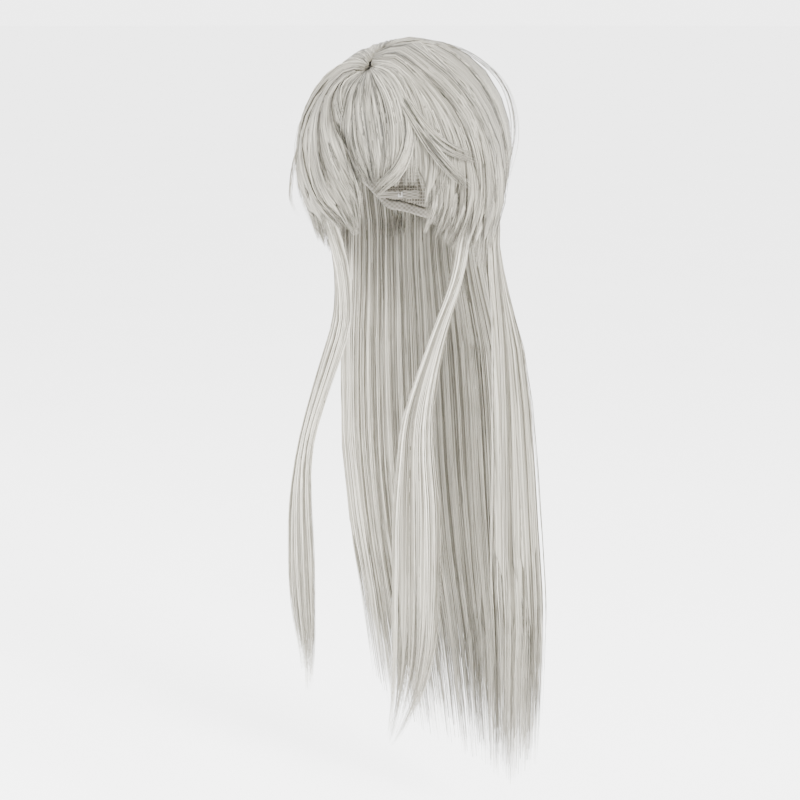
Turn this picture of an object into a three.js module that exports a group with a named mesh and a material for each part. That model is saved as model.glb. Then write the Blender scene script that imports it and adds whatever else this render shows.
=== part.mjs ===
// A long layered costume wig on a net cap. Millimetres, +Z up, the face side is -Y and the
// wearer's left is +X. The origin is the middle of the wearer's head at the tops of the ears,
// which is where the wig sits.
import * as THREE from 'three';

// The head form that the cap fits.
const HEAD_HALF_WIDTH = 77;
const HEAD_HALF_DEPTH = 97;
const HEAD_TOP = 122;
const DROP_PER_DEGREE = 2;
const NAPE_TUCK = 0.1;
const TUCK_RANGE = 30;
const TUCK_DEPTH = 10;

// Layers, as distances off the head form.
const CAP_IN = 0.5;
const CAP_OUT = 1.6;
const STAY_IN = 2.1;
const STAY_OUT = 3.1;
const WEFT_IN = 2.1;
const WEFT_OUT = 3.6;
const UNDER_IN = 4.8;
const UNDER_OUT = 10.8;
const TOP_IN = 12;
const TOP_OUT = 22;
const BETWEEN = 0.8;

// How much fuller the hair is than on top, at the face, over the ears and at the back.
const FULL_FRONT = -0.17;
const FULL_SIDE = 0.87;
const FULL_BACK = 0.35;
const FULL_LOSS = 0.55;

// The whorl that the crown hair starts from, and the front edge of the cap.
const WHORL = new THREE.Vector2(-14, -34);
const WHORL_RADIUS = 5;
const FRONT_EDGE = 62;
const EDGE_WIDTH = 5;

// The loose-hanging hair.
const FALL_TOP = -102;
const SIDE_LOCK_TOP = -99;

const SILVER = 0xcfccc4;
const ASH = 0xbfbbb0;
const SMOKE = 0xa8a294;
const NET = 0xd9d2c3;
const RIBBON = 0xe6e0d4;
const SKIN = 0xe2b79a;
const THREAD = 0x8f897b;
const CLEAR_HOOK = 0xe8e8e4;

const group = new THREE.Group();

function mix(a, b, share) {
  return a + (b - a) * share;
}

// Rises smoothly from 0 at start to 1 at end.
function rise(value, start, end) {
  const share = Math.min(Math.max((value - start) / (end - start), 0), 1);
  return share * share * (3 - 2 * share);
}

function add(name, geometry, colour, roughness = 0.6) {
  const material = new THREE.MeshStandardMaterial({ color: colour, roughness });
  const mesh = new THREE.Mesh(geometry, material);
  mesh.name = name;
  group.add(mesh);
}

// How much thicker the hair layers are at a map point than on top of the head. The layers draw
// in again where they pass the ears.
function fullness(map) {
  const far = Math.hypot(map.x, map.y);
  if (far === 0) {
    return 1;
  }
  const side = map.x / far;
  const back = map.y / far;
  const extra = FULL_SIDE * side * side + (back > 0 ? FULL_BACK : FULL_FRONT) * back * back;
  return (1 + rise(far, 15, 75) * extra) * (1 - FULL_LOSS * rise(far, 100, 132));
}

// A place on the head. Its map point is the direction seen from above, as degrees from the top
// of the head, with x to the wearer's left and y to the back. Past 90 degrees it drops straight.
function onHead(map, layer) {
  const off = layer > UNDER_IN ? UNDER_IN + (layer - UNDER_IN) * fullness(map) : layer;
  const far = Math.hypot(map.x, map.y);
  const bend = (Math.min(far, 90) * Math.PI) / 180;
  const below = Math.max(far - 90, 0);
  const behind = far > 0 ? rise(map.y / far, -0.3, 0.6) : 0;
  const depth = Math.max(1 - off / TUCK_DEPTH, 0) * behind;
  const tuck = 1 - NAPE_TUCK * depth * Math.min(below / TUCK_RANGE, 1) ** 2;
  const side = far > 0 ? map.x / far : 0;
  const back = far > 0 ? map.y / far : 0;
  return new THREE.Vector3(
    (HEAD_HALF_WIDTH + off) * Math.sin(bend) * side * tuck,
    (HEAD_HALF_DEPTH + off) * Math.sin(bend) * back * tuck,
    (HEAD_TOP + off) * Math.cos(bend) - below * DROP_PER_DEGREE,
  );
}

// A map point from an angle round the head, where 0 is the face and +90 the wearer's left.
function polar(angle, far) {
  const turn = (angle * Math.PI) / 180;
  return new THREE.Vector2(Math.sin(turn) * far, -Math.cos(turn) * far);
}

// A closed slab between two edges. left(v) and right(v) are map points, inner and outer give
// how far off its two faces lie at (u, v, map), and place turns a map point into a position.
function slab({ left, right, inner, outer, across, along, place = onHead }) {
  const positions = [];
  const indices = [];
  const width = across + 1;
  const ringSize = width * 2;
  for (let j = 0; j <= along; j += 1) {
    const v = j / along;
    for (const face of [outer, inner]) {
      for (let i = 0; i <= across; i += 1) {
        const u = i / across;
        const map = left(v).clone().lerp(right(v), u);
        positions.push(...place(map, face(u, v, map)).toArray());
      }
    }
  }
  const quad = (a, b, c, d) => indices.push(a, b, c, a, c, d);
  for (let j = 0; j < along; j += 1) {
    const here = j * ringSize;
    const next = here + ringSize;
    for (let i = 0; i < across; i += 1) {
      quad(here + i, here + i + 1, next + i + 1, next + i);
      quad(here + width + i + 1, here + width + i, next + width + i, next + width + i + 1);
    }
    quad(here + width, here, next, next + width);
    quad(here + across, here + width + across, next + width + across, next + across);
  }
  const last = along * ringSize;
  for (let i = 0; i < across; i += 1) {
    quad(i + 1, i, width + i, width + i + 1);
    quad(last + i, last + i + 1, last + width + i + 1, last + width + i);
  }
  return outward(positions, indices);
}

// A geometry whose faces look outward, whichever way its points were listed.
function outward(positions, indices) {
  const corner = (index) => new THREE.Vector3().fromArray(positions, index * 3);
  let volume = 0;
  for (let i = 0; i < indices.length; i += 3) {
    const [a, b, c] = [indices[i], indices[i + 1], indices[i + 2]].map(corner);
    volume += a.dot(b.cross(c)) / 6;
  }
  const facing = volume < 0 ? [...indices].reverse() : indices;
  const geometry = new THREE.BufferGeometry();
  geometry.setAttribute('position', new THREE.Float32BufferAttribute(positions, 3));
  geometry.setIndex(facing);
  geometry.computeVertexNormals();
  return geometry;
}

// Two edges that both draw in towards their middle after the taper starts.
function tapered(left, right, start, tip) {
  const pull = (v) => (mix(1, tip, rise(v, start, 1)) - 1) / -2;
  return {
    left: (v) => left(v).clone().lerp(right(v), pull(v)),
    right: (v) => right(v).clone().lerp(left(v), pull(v)),
  };
}

// Two edges with a gap kept on each side, in map units.
function inset(left, right, gap) {
  const share = (v) => Math.min(gap / Math.max(left(v).distanceTo(right(v)), 0.01), 0.3);
  return {
    left: (v) => left(v).clone().lerp(right(v), share(v)),
    right: (v) => right(v).clone().lerp(left(v), share(v)),
  };
}

// A band round the head between two angles and two distances from the top.
function band(fromAngle, toAngle, near, far, inOff, outOff, across, along) {
  const place = (map, off) => {
    const angle = mix(fromAngle, toAngle, map.x);
    return onHead(polar(angle, mix(near(angle), far(angle), map.y)), off);
  };
  return slab({
    left: (v) => new THREE.Vector2(0, v),
    right: (v) => new THREE.Vector2(1, v),
    inner: () => inOff,
    outer: () => outOff,
    across,
    along,
    place,
  });
}

// ---------------------------------------------------------------- the net cap

// How far from the top of the head the cap's edge lies, all the way round.
const EDGE_STOPS = [
  [0, FRONT_EDGE], [40, 66], [62, 74], [78, 84], [96, 88], [118, 100], [145, 116], [180, 121],
];

function capEdge(angle) {
  const side = Math.abs(angle);
  let stop = 1;
  while (stop < EDGE_STOPS.length - 1 && EDGE_STOPS[stop][0] < side) {
    stop += 1;
  }
  const [nearAngle, nearEdge] = EDGE_STOPS[stop - 1];
  const [farAngle, farEdge] = EDGE_STOPS[stop];
  return mix(nearEdge, farEdge, rise(side, nearAngle, farAngle));
}

const CAP_SEAM = 0.25;

function capPanel(name, fromAngle, toAngle, near, far, across, along) {
  const shape = band(
    fromAngle + CAP_SEAM * 2, toAngle - CAP_SEAM * 2, near, far, CAP_IN, CAP_OUT, across, along,
  );
  add(name, shape, NET, 0.9);
}

// The round crown net is a disc, set back from the front so that the skin top fits before it.
const CROWN_CENTRE = new THREE.Vector2(0, 12);
const CROWN_RADIUS = 27;

function disc(centre, radius, inOff, outOff, around, rings) {
  const positions = [];
  const indices = [];
  const count = around * rings + 1;
  for (const off of [outOff, inOff]) {
    positions.push(...onHead(centre, off).toArray());
    for (let ring = 1; ring <= rings; ring += 1) {
      for (let i = 0; i < around; i += 1) {
        const turn = (i / around) * Math.PI * 2;
        const reach = (radius * ring) / rings;
        const map = new THREE.Vector2(Math.sin(turn), -Math.cos(turn)).multiplyScalar(reach).add(centre);
        positions.push(...onHead(map, off).toArray());
      }
    }
  }
  for (let i = 0; i < around; i += 1) {
    const next = (i + 1) % around;
    indices.push(0, 1 + i, 1 + next);
    indices.push(count, count + 1 + next, count + 1 + i);
    for (let ring = 1; ring < rings; ring += 1) {
      const a = 1 + (ring - 1) * around;
      const b = a + around;
      indices.push(a + i, b + i, b + next, a + i, b + next, a + next);
      indices.push(count + a + i, count + b + next, count + b + i);
      indices.push(count + a + i, count + a + next, count + b + next);
    }
    const rim = 1 + (rings - 1) * around;
    indices.push(rim + i, count + rim + i, count + rim + next);
    indices.push(rim + i, count + rim + next, rim + next);
  }
  return outward(positions, indices);
}

add('cap_crown_net', disc(CROWN_CENTRE, CROWN_RADIUS, CAP_IN, CAP_OUT, 28, 4), NET, 0.9);

// Where the ring of panels round the crown net starts, as a distance from the top of the head.
function crownRim(angle) {
  const way = polar(angle, 1);
  const along = way.dot(CROWN_CENTRE);
  const aside = CROWN_CENTRE.lengthSq() - along * along;
  return along + Math.sqrt((CROWN_RADIUS + 0.5) ** 2 - aside);
}

const napeStart = () => 97;
const ribbonStart = (angle) => capEdge(angle) - EDGE_WIDTH;
const panelEnd = (angle) => ribbonStart(angle) - 0.8;

capPanel('cap_front_panel', -52, 52, crownRim, panelEnd, 16, 5);
capPanel('cap_left_panel', 52, 118, crownRim, panelEnd, 10, 6);
capPanel('cap_right_panel', -118, -52, crownRim, panelEnd, 10, 6);
capPanel('cap_back_panel', 118, 242, (angle) => crownRim(angle), () => 93.5, 18, 6);

function wrapped(angle) {
  return angle > 180 ? angle - 360 : angle;
}

capPanel('cap_nape_panel', 121, 239, () => 94, (angle) => panelEnd(wrapped(angle)), 18, 3);

add('edge_ribbon', band(
  -119.5, 119.5, ribbonStart, capEdge, CAP_IN, CAP_OUT + 0.5, 40, 1,
), RIBBON, 0.8);
add('nape_elastic', band(
  120.5,
  239.5,
  (angle) => ribbonStart(wrapped(angle)),
  (angle) => capEdge(wrapped(angle)),
  CAP_IN, CAP_OUT + 0.9, 20, 1,
), CLEAR_HOOK, 0.7);

// Each ear tab hangs below the ribbon in front of the ear, with a bendable stay sewn on it.
const TAB_ANGLE = 72;
const TAB_HALF = 7;

for (const [side, way] of [['left', 1], ['right', -1]]) {
  const from = Math.min(way * (TAB_ANGLE - TAB_HALF), way * (TAB_ANGLE + TAB_HALF));
  const tabEnd = (angle) => 99 - ((Math.abs(angle) - TAB_ANGLE) / TAB_HALF) ** 2 * 4;
  const tab = band(
    from, from + TAB_HALF * 2, (angle) => capEdge(angle) + 0.6, tabEnd, CAP_IN, CAP_OUT, 6, 3,
  );
  add(`ear_tab_${side}`, tab, NET, 0.9);
  const stay = band(
    way * TAB_ANGLE - 1.4, way * TAB_ANGLE + 1.4,
    (angle) => capEdge(angle) + 1.2, () => 97, STAY_IN, STAY_OUT, 1, 4,
  );
  add(`ear_tab_stay_${side}`, stay, RIBBON, 0.4);
}

// The skin-coloured whorl and parting lie on the net, under the crown hair.
const SKIN_WIDE = 9;
add('skin_top', slab({
  left: (v) => new THREE.Vector2(WHORL.x - SKIN_WIDE, mix(-45, -14.5, v)),
  right: (v) => new THREE.Vector2(WHORL.x + SKIN_WIDE, mix(-45, -14.5, v)),
  inner: () => WEFT_IN,
  outer: () => WEFT_OUT,
  across: 6,
  along: 8,
}), SKIN, 0.7);

// ---------------------------------------------------------------- wefts

for (const [index, far] of [52, 72, 92].entries()) {
  const weft = band(126, 234, () => far, () => far + 2.4, WEFT_IN, WEFT_OUT, 16, 1);
  add(`weft_back_${index + 1}`, weft, THREAD, 0.8);
}
for (const [side, way] of [['left', 1], ['right', -1]]) {
  const from = Math.min(way * 62, way * 116);
  const weft = band(from, from + 54, () => 66, () => 68.4, WEFT_IN, WEFT_OUT, 10, 1);
  add(`weft_${side}`, weft, THREAD, 0.8);
}

// ---------------------------------------------------------------- crown hair

// The crown locks fan out from the whorl to a ring round the head. Each ends at an angle.
const TOP_END = 95;
const FRINGE_ROOT_END = 58;
const FAN = [
  ['crown_front_right', -78, -39],
  ['crown_right', -120, -78],
  ['crown_back_right', -174, -120],
  ['crown_back_left', 126, 186],
  ['crown_left', 82, 126],
  ['crown_front_left', 41, 82],
];

// A curve from the whorl to the ring. It leaves the whorl, bends down at the front edge's
// distance and then falls straight, so neighbours that share an angle share the whole curve.
const BEND_SHARE = 0.55;

function sweepTo(angle) {
  const turn = polar(angle, 50);
  const bend = polar(angle, FRINGE_ROOT_END);
  const start = turn.clone().sub(WHORL).normalize().multiplyScalar(WHORL_RADIUS).add(WHORL);
  return (v) => {
    if (v > BEND_SHARE) {
      return polar(angle, mix(FRINGE_ROOT_END, TOP_END, (v - BEND_SHARE) / (1 - BEND_SHARE)));
    }
    const share = v / BEND_SHARE;
    return start.clone().lerp(turn, share).lerp(turn.clone().lerp(bend, share), share);
  };
}

const topInner = (u, v, map) => mix(UNDER_IN + 0.7, TOP_IN, rise(map.length(), 58, 69));
const domed = (u) => 1 - (2 * u - 1) ** 2;
const topOuter = (u, v, map) => {
  const body = mix(TOP_OUT - 3, TOP_OUT, domed(u));
  return mix(UNDER_IN + 4, body, rise(map.distanceTo(WHORL), 0, 26)) - 2.5 * rise(v, 0.8, 1);
};

for (const [name, from, to] of FAN) {
  const edges = inset(sweepTo(from), sweepTo(to), BETWEEN / 2);
  add(name, slab({ ...edges, inner: topInner, outer: topOuter, across: 7, along: 14 }), SILVER);
}

// Short roots in front of the whorl carry the fringe as far as the front edge.
const FRINGE = [
  ['fringe_right_side', -38, -23, 104],
  ['fringe_right', -23, -10, 100],
  ['fringe_centre', -10, 11, 103],
  ['fringe_left', 11, 27, 99],
  ['fringe_left_sweep', 27, 40, 102],
];
const fringeOuter = (u, v, map) => {
  const body = mix(TOP_OUT - 3, TOP_OUT, domed(u));
  return mix(UNDER_IN + 4, body, rise(map.distanceTo(WHORL), 0, 26));
};
const FRINGE_ROOTS = [
  ['fringe_root_right', -39, -10],
  ['fringe_root_centre', -10, 11],
  ['fringe_root_left', 11, 41],
];
for (const [name, from, to] of FRINGE_ROOTS) {
  const short = (angle) => (v) => sweepTo(angle)(v * BEND_SHARE);
  const edges = inset(short(from), short(to), BETWEEN / 2);
  add(name, slab({
    ...edges, inner: topInner, outer: fringeOuter, across: 4, along: 5,
  }), SILVER);
}

// The clumps themselves hang free in front of the forehead and narrow to a tip.
const FRINGE_TOP = 61;
for (const [name, from, to, end] of FRINGE) {
  const straight = inset(
    (v) => polar(from, mix(FRINGE_TOP, end, v)),
    (v) => polar(to, mix(FRINGE_TOP, end, v)),
    BETWEEN / 2,
  );
  const edges = tapered(straight.left, straight.right, 0.25, 0.12);
  add(name, slab({
    ...edges,
    inner: (u, v) => mix(TOP_IN, TOP_IN + 2, v),
    outer: (u, v) => mix(TOP_OUT - 1, TOP_IN + 4, v) + 2.5 * domed(u) * (1 - v),
    across: 5,
    along: 8,
  }), SILVER);
}

// ---------------------------------------------------------------- layers below the crown hair

// Each lock goes from an angle range at the cap to a narrower one lower down.
function hangingLock(name, from, to, start, end, settings = {}) {
  const { swing = 0, tip = 0.3, full = 17, colour = ASH, along = 9, taper = 0.45 } = settings;
  const straight = inset(
    (v) => polar(from + swing * v * v, mix(start, end, v)),
    (v) => polar(to + swing * v * v, mix(start, end, v)),
    BETWEEN / 2,
  );
  const edges = tapered(straight.left, straight.right, taper, tip);
  add(name, slab({
    ...edges,
    inner: (u, v) => UNDER_IN + 3 * rise(v, 0.6, 1),
    outer: (u, v, map) => {
      const room = mix(UNDER_OUT - 1.5, UNDER_OUT, domed(u));
      const body = mix(room, full, rise(map.length(), 99, 110) * domed(u));
      return mix(body, UNDER_IN + 6, rise(v, 0.82, 1));
    },
    across: 5,
    along,
  }), colour);
}

// The angles leave out 64 to 76 on each side, where the long front locks are rooted.
const FACE_LOCK_END = 132;
const BACK_LAYER_END = 126;
for (const [side, way] of [['left', 1], ['right', -1]]) {
  const span = (name, a, b, start, end, settings) => {
    const swing = side === 'left' ? settings.swing : settings.rightSwing ?? -settings.swing;
    const mirrored = { ...settings, swing };
    hangingLock(
      `${name}_${side}`, Math.min(way * a, way * b), Math.max(way * a, way * b),
      start, end, mirrored,
    );
  };
  span('face_lock_front', 43.5, 53, 76, 124, { swing: -2, rightSwing: 14, tip: 0.2 });
  span('face_lock_side', 53, 63, 78, FACE_LOCK_END, { swing: 1, rightSwing: 10, tip: 0.2 });
  span('side_layer_front', 77, 98, 76, 131, { swing: 2, tip: 0.5 });
  span('side_layer_back', 98, 122, 76, 133, { swing: 1, tip: 0.5 });
}
hangingLock('back_layer_left', 122, 180, 96, BACK_LAYER_END, { tip: 0.8, full: 15 });
hangingLock('back_layer_right', 180, 238, 96, BACK_LAYER_END, { tip: 0.8, full: 15 });

// ---------------------------------------------------------------- long front locks

// Sweeps a slab down a path, with its width across the body and its faces to the front and back.
function sweptLock(name, path, widths, depths, turn, colour) {
  const curve = new THREE.CatmullRomCurve3(path.map((p) => new THREE.Vector3(...p)));
  const wide = new THREE.Vector3(Math.cos(turn), Math.sin(turn), 0);
  const sample = (stops, v) => {
    const place = v * (stops.length - 1);
    const stop = Math.min(Math.floor(place), stops.length - 2);
    return mix(stops[stop], stops[stop + 1], place - stop);
  };
  const place = (map, off) => {
    const centre = curve.getPointAt(map.y);
    const ahead = curve.getTangentAt(map.y);
    const deep = wide.clone().cross(ahead).normalize();
    return centre.addScaledVector(wide, map.x).addScaledVector(deep, off);
  };
  add(name, slab({
    left: (v) => new THREE.Vector2(-sample(widths, v) / 2, v),
    right: (v) => new THREE.Vector2(sample(widths, v) / 2, v),
    inner: (u, v) => -sample(depths, v) * (0.2 + 0.3 * domed(u)),
    outer: (u, v) => sample(depths, v) * (0.2 + 0.3 * domed(u)),
    across: 6,
    along: 18,
    place,
  }), colour);
}

// The upper end of each lock hangs from the cap just in front of the ear and lies flat there.
const ROOT_TURN = 1.25;
sweptLock('long_lock_root_left', [
  [83, -37, -2], [82, -38, -28], [79, -40, -62], [73, -40, SIDE_LOCK_TOP + 7],
], [12, 13, 14, 14], [7, 8, 9, 10], ROOT_TURN, ASH);
sweptLock('long_lock_root_right', [
  [-83, -37, -2], [-80, -38, -30], [-70, -41, -64], [-57, -42, SIDE_LOCK_TOP + 7],
], [12, 13, 14, 14], [7, 8, 9, 10], -ROOT_TURN, ASH);

sweptLock('long_lock_left', [
  [72, -40, SIDE_LOCK_TOP], [68, -62, -170], [62, -96, -240], [57, -118, -310],
  [55, -125, -420], [54, -126, -520], [52, -126, -590], [40, -127, -640],
], [15, 18, 26, 36, 40, 38, 24, 5], [11, 13, 14, 16, 16, 14, 11, 4], 0.2, SILVER);

sweptLock('long_lock_right', [
  [-56, -42, SIDE_LOCK_TOP], [-60, -58, -170], [-68, -88, -250], [-74, -108, -330],
  [-76, -112, -430], [-76, -111, -500], [-75, -108, -550], [-74, -105, -586],
], [15, 18, 22, 27, 28, 24, 16, 5], [11, 13, 14, 15, 14, 12, 9, 4], -0.2, SILVER);

// ---------------------------------------------------------------- long back hair

// How far the back hair has spread at a height, from 0 at its top to 1 where it is widest.
const SPREAD_STOPS = [
  [FALL_TOP, 0], [-170, 0.2], [-253, 0.45], [-389, 0.62], [-462, 0.72], [-563, 0.92], [-653, 1],
  [-760, 0.95],
];

function spreadAt(height) {
  let stop = 1;
  while (stop < SPREAD_STOPS.length - 1 && SPREAD_STOPS[stop][0] > height) {
    stop += 1;
  }
  const [nearHeight, nearSpread] = SPREAD_STOPS[stop - 1];
  const [farHeight, farSpread] = SPREAD_STOPS[stop];
  return mix(nearSpread, farSpread, (height - nearHeight) / (farHeight - nearHeight));
}

// A place on the falling sheet of back hair: x is the angle round the body and y the height.
// The sheet drifts to the wearer's left as it falls.
function onFall(map, off) {
  const spread = spreadAt(map.y);
  const turn = (map.x * Math.PI) / 180;
  return new THREE.Vector3(
    mix(2, 22, spread) + (mix(90, 118, spread) + off) * Math.sin(turn),
    mix(10, 38, spread) - (mix(100, 98, spread) + off) * Math.cos(turn),
    map.y,
  );
}

// The name of each panel, its angles, and the height of its tip.
const PANELS = [
  ['back_hair_far_left', 112, 138, -672],
  ['back_hair_left', 138, 164, -742],
  ['back_hair_centre', 164, 196, -728],
  ['back_hair_right', 196, 222, -668],
  ['back_hair_far_right', 222, 248, -592],
];
for (const [name, from, to, end] of PANELS) {
  const straight = inset(
    (v) => new THREE.Vector2(from, mix(FALL_TOP, end, v)),
    (v) => new THREE.Vector2(to, mix(FALL_TOP, end, v)),
    0.5,
  );
  const edges = tapered(straight.left, straight.right, 0.72, 0.5);
  add(name, slab({
    ...edges,
    inner: (u, v) => mix(0, 3, v) - 2 * domed(u) * (1 - v),
    outer: (u, v) => mix(9, 6, v) + 5 * domed(u) * (1 - v),
    across: 6,
    along: 16,
    place: onFall,
  }), SMOKE);
}

// ---------------------------------------------------------------- straps and hooks at the nape

// Each strap is flat and lies inside the nape on a straight line, so it can slide along itself.
const STRAP_HEIGHT = -34;
const STRAP_TALL = 9;
const STRAP_THICK = 1;
const STRAP_LONG = 26;
const TAPE_LONG = 30;
const STRAP_FROM = new THREE.Vector3(12, 79, STRAP_HEIGHT);
const STRAP_TO = new THREE.Vector3(58, 53, STRAP_HEIGHT);

// A flat outline in the plane of the strap: x along it, y up, stood off the line towards the nape.
function flatPiece(outline, way, start, thick, stand) {
  const shape = new THREE.Shape(outline.map(([x, y]) => new THREE.Vector2(x, y)));
  const solid = new THREE.ExtrudeGeometry(shape, { depth: thick, bevelEnabled: false });
  const along = STRAP_TO.clone().sub(STRAP_FROM).normalize();
  const up = new THREE.Vector3(0, 0, 1);
  const away = along.clone().cross(up).negate();
  const frame = new THREE.Matrix4().makeBasis(along, up, away);
  const origin = STRAP_FROM.clone().addScaledVector(along, start).addScaledVector(away, stand);
  frame.setPosition(origin);
  solid.applyMatrix4(frame);
  const places = solid.getAttribute('position');
  const positions = [];
  for (let i = 0; i < places.count; i += 1) {
    positions.push(places.getX(i) * way, places.getY(i), places.getZ(i));
  }
  return outward(positions, positions.filter((_, i) => i % 3 === 0).map((_, i) => i));
}

function rectangle(x0, y0, x1, y1) {
  return [[x0, y0], [x1, y0], [x1, y1], [x0, y1]];
}

const HOOK_OUTLINE = [
  [0, -3], [5, -3], [5, 1], [3.6, 1], [3.6, -1.6], [1.4, -1.6], [1.4, 3], [0, 3],
];

// The tape's loops stand up from its upper edge, one for each size the wearer can choose.
function tapeOutline() {
  const points = [[0, -4], [TAPE_LONG, -4]];
  for (let x = TAPE_LONG; x > 0; x -= 6) {
    points.push([x, 2.5], [x - 3, 2.5], [x - 3, 4.5], [x - 6, 4.5]);
  }
  return points;
}

for (const [side, way] of [['left', 1], ['right', -1]]) {
  const half = STRAP_TALL / 2;
  const strap = rectangle(0, -half, STRAP_LONG * 0.7, half);
  add(`strap_${side}`, flatPiece(strap, way, 0, STRAP_THICK, 0), RIBBON, 0.8);
  add(
    `hook_${side}`,
    flatPiece(HOOK_OUTLINE, way, STRAP_LONG * 0.7 + 0.4, STRAP_THICK, 0),
    CLEAR_HOOK, 0.3,
  );
  add(`loop_tape_${side}`, flatPiece(tapeOutline(), way, 16, 0.9, 2.2), NET, 0.9);
}

// ---------------------------------------------------------------- loose strands

// A thin arch that stands away from the crown on the wearer's left.
add('loose_strand_crown', slab({
  left: (v) => polar(mix(140, 78, v), mix(8, 86, v)),
  right: (v) => polar(mix(140, 78, v) + 1.2, mix(8, 86, v) + 1.6),
  inner: (u, v) => TOP_OUT + 1.2 + 7 * Math.sin(Math.PI * v),
  outer: (u, v) => TOP_OUT + 3.2 + 7 * Math.sin(Math.PI * v),
  across: 1,
  along: 14,
}), SILVER);

// A wisp that curls out past the layers on the wearer's right.
add('loose_strand_side', slab({
  left: (v) => polar(-60 - 6 * v, mix(72, 128, v)),
  right: (v) => polar(-61.6 - 6 * v, mix(72, 128, v)),
  inner: (u, v) => TOP_OUT + 1.2 + 4 * Math.sin(Math.PI * v),
  outer: (u, v) => TOP_OUT + 3.4 + 4 * Math.sin(Math.PI * v),
  across: 1,
  along: 10,
}), SILVER);

export default group;
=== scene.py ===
"""A long layered costume wig on its net cap, every lock of it made of fine tapered strands."""

import logging
from collections.abc import Mapping, Sequence
from dataclasses import dataclass, replace
from enum import Enum
from typing import Any

import bpy
import numpy as np
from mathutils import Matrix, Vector
from numpy.typing import NDArray

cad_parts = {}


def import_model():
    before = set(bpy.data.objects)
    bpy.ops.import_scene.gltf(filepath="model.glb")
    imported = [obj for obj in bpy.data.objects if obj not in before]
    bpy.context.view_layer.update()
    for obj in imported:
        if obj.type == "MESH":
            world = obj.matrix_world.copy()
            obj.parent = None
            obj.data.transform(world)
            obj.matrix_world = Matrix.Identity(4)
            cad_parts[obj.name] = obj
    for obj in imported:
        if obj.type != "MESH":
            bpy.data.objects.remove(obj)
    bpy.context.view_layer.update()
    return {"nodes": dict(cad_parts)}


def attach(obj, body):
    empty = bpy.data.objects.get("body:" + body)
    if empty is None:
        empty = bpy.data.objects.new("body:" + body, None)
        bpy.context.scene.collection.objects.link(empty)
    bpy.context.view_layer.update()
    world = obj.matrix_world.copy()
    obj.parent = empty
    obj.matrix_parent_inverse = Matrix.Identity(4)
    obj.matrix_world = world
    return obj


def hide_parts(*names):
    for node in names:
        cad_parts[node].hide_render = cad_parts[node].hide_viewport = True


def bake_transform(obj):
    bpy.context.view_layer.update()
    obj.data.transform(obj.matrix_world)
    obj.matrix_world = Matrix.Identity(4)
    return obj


Floats = NDArray[np.float64]
Colour = tuple[float, float, float]
Stop = tuple[float, float, float]

LOG = logging.getLogger("wig")
MM = 0.001
FULL_TURN = 2 * np.pi
THREAD_MAP = "Thread"
STRAND_SIDES = 3
CORE_SIDES = 20
LEAST_HALF_WIDTH = 0.8 * MM


# ---------------------------------------------------------------- shader maths


@dataclass(frozen=True)
class Wire:
    """One output of a material's nodes, so that maths on it reads as maths."""

    bench: "Bench"
    socket: bpy.types.NodeSocket

    def maths(self, operation: str, first: Any, second: Any = 0.0) -> "Wire":
        """Adds a Math node.

        Args:
            operation: the node's operation.
            first: its first value or wire.
            second: its second value or wire.

        Returns:
            The node's output.
        """
        return self.bench.node("ShaderNodeMath", {"operation": operation}, {0: first, 1: second})

    def __add__(self, other: Any) -> "Wire":
        """This plus other."""
        return self.maths("ADD", self, other)

    def __sub__(self, other: Any) -> "Wire":
        """This less other."""
        return self.maths("SUBTRACT", self, other)

    def __rsub__(self, other: Any) -> "Wire":
        """Other less this."""
        return self.maths("SUBTRACT", other, self)

    def __mul__(self, other: Any) -> "Wire":
        """This times other."""
        return self.maths("MULTIPLY", self, other)

    __radd__ = __add__
    __rmul__ = __mul__

    def clamped(self) -> "Wire":
        """This, held between 0 and 1."""
        return self.maths("MAXIMUM", self.maths("MINIMUM", self, 1.0), 0.0)

    def sine(self) -> "Wire":
        """The sine of this, as an angle in radians."""
        return self.maths("SINE", self)


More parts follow.
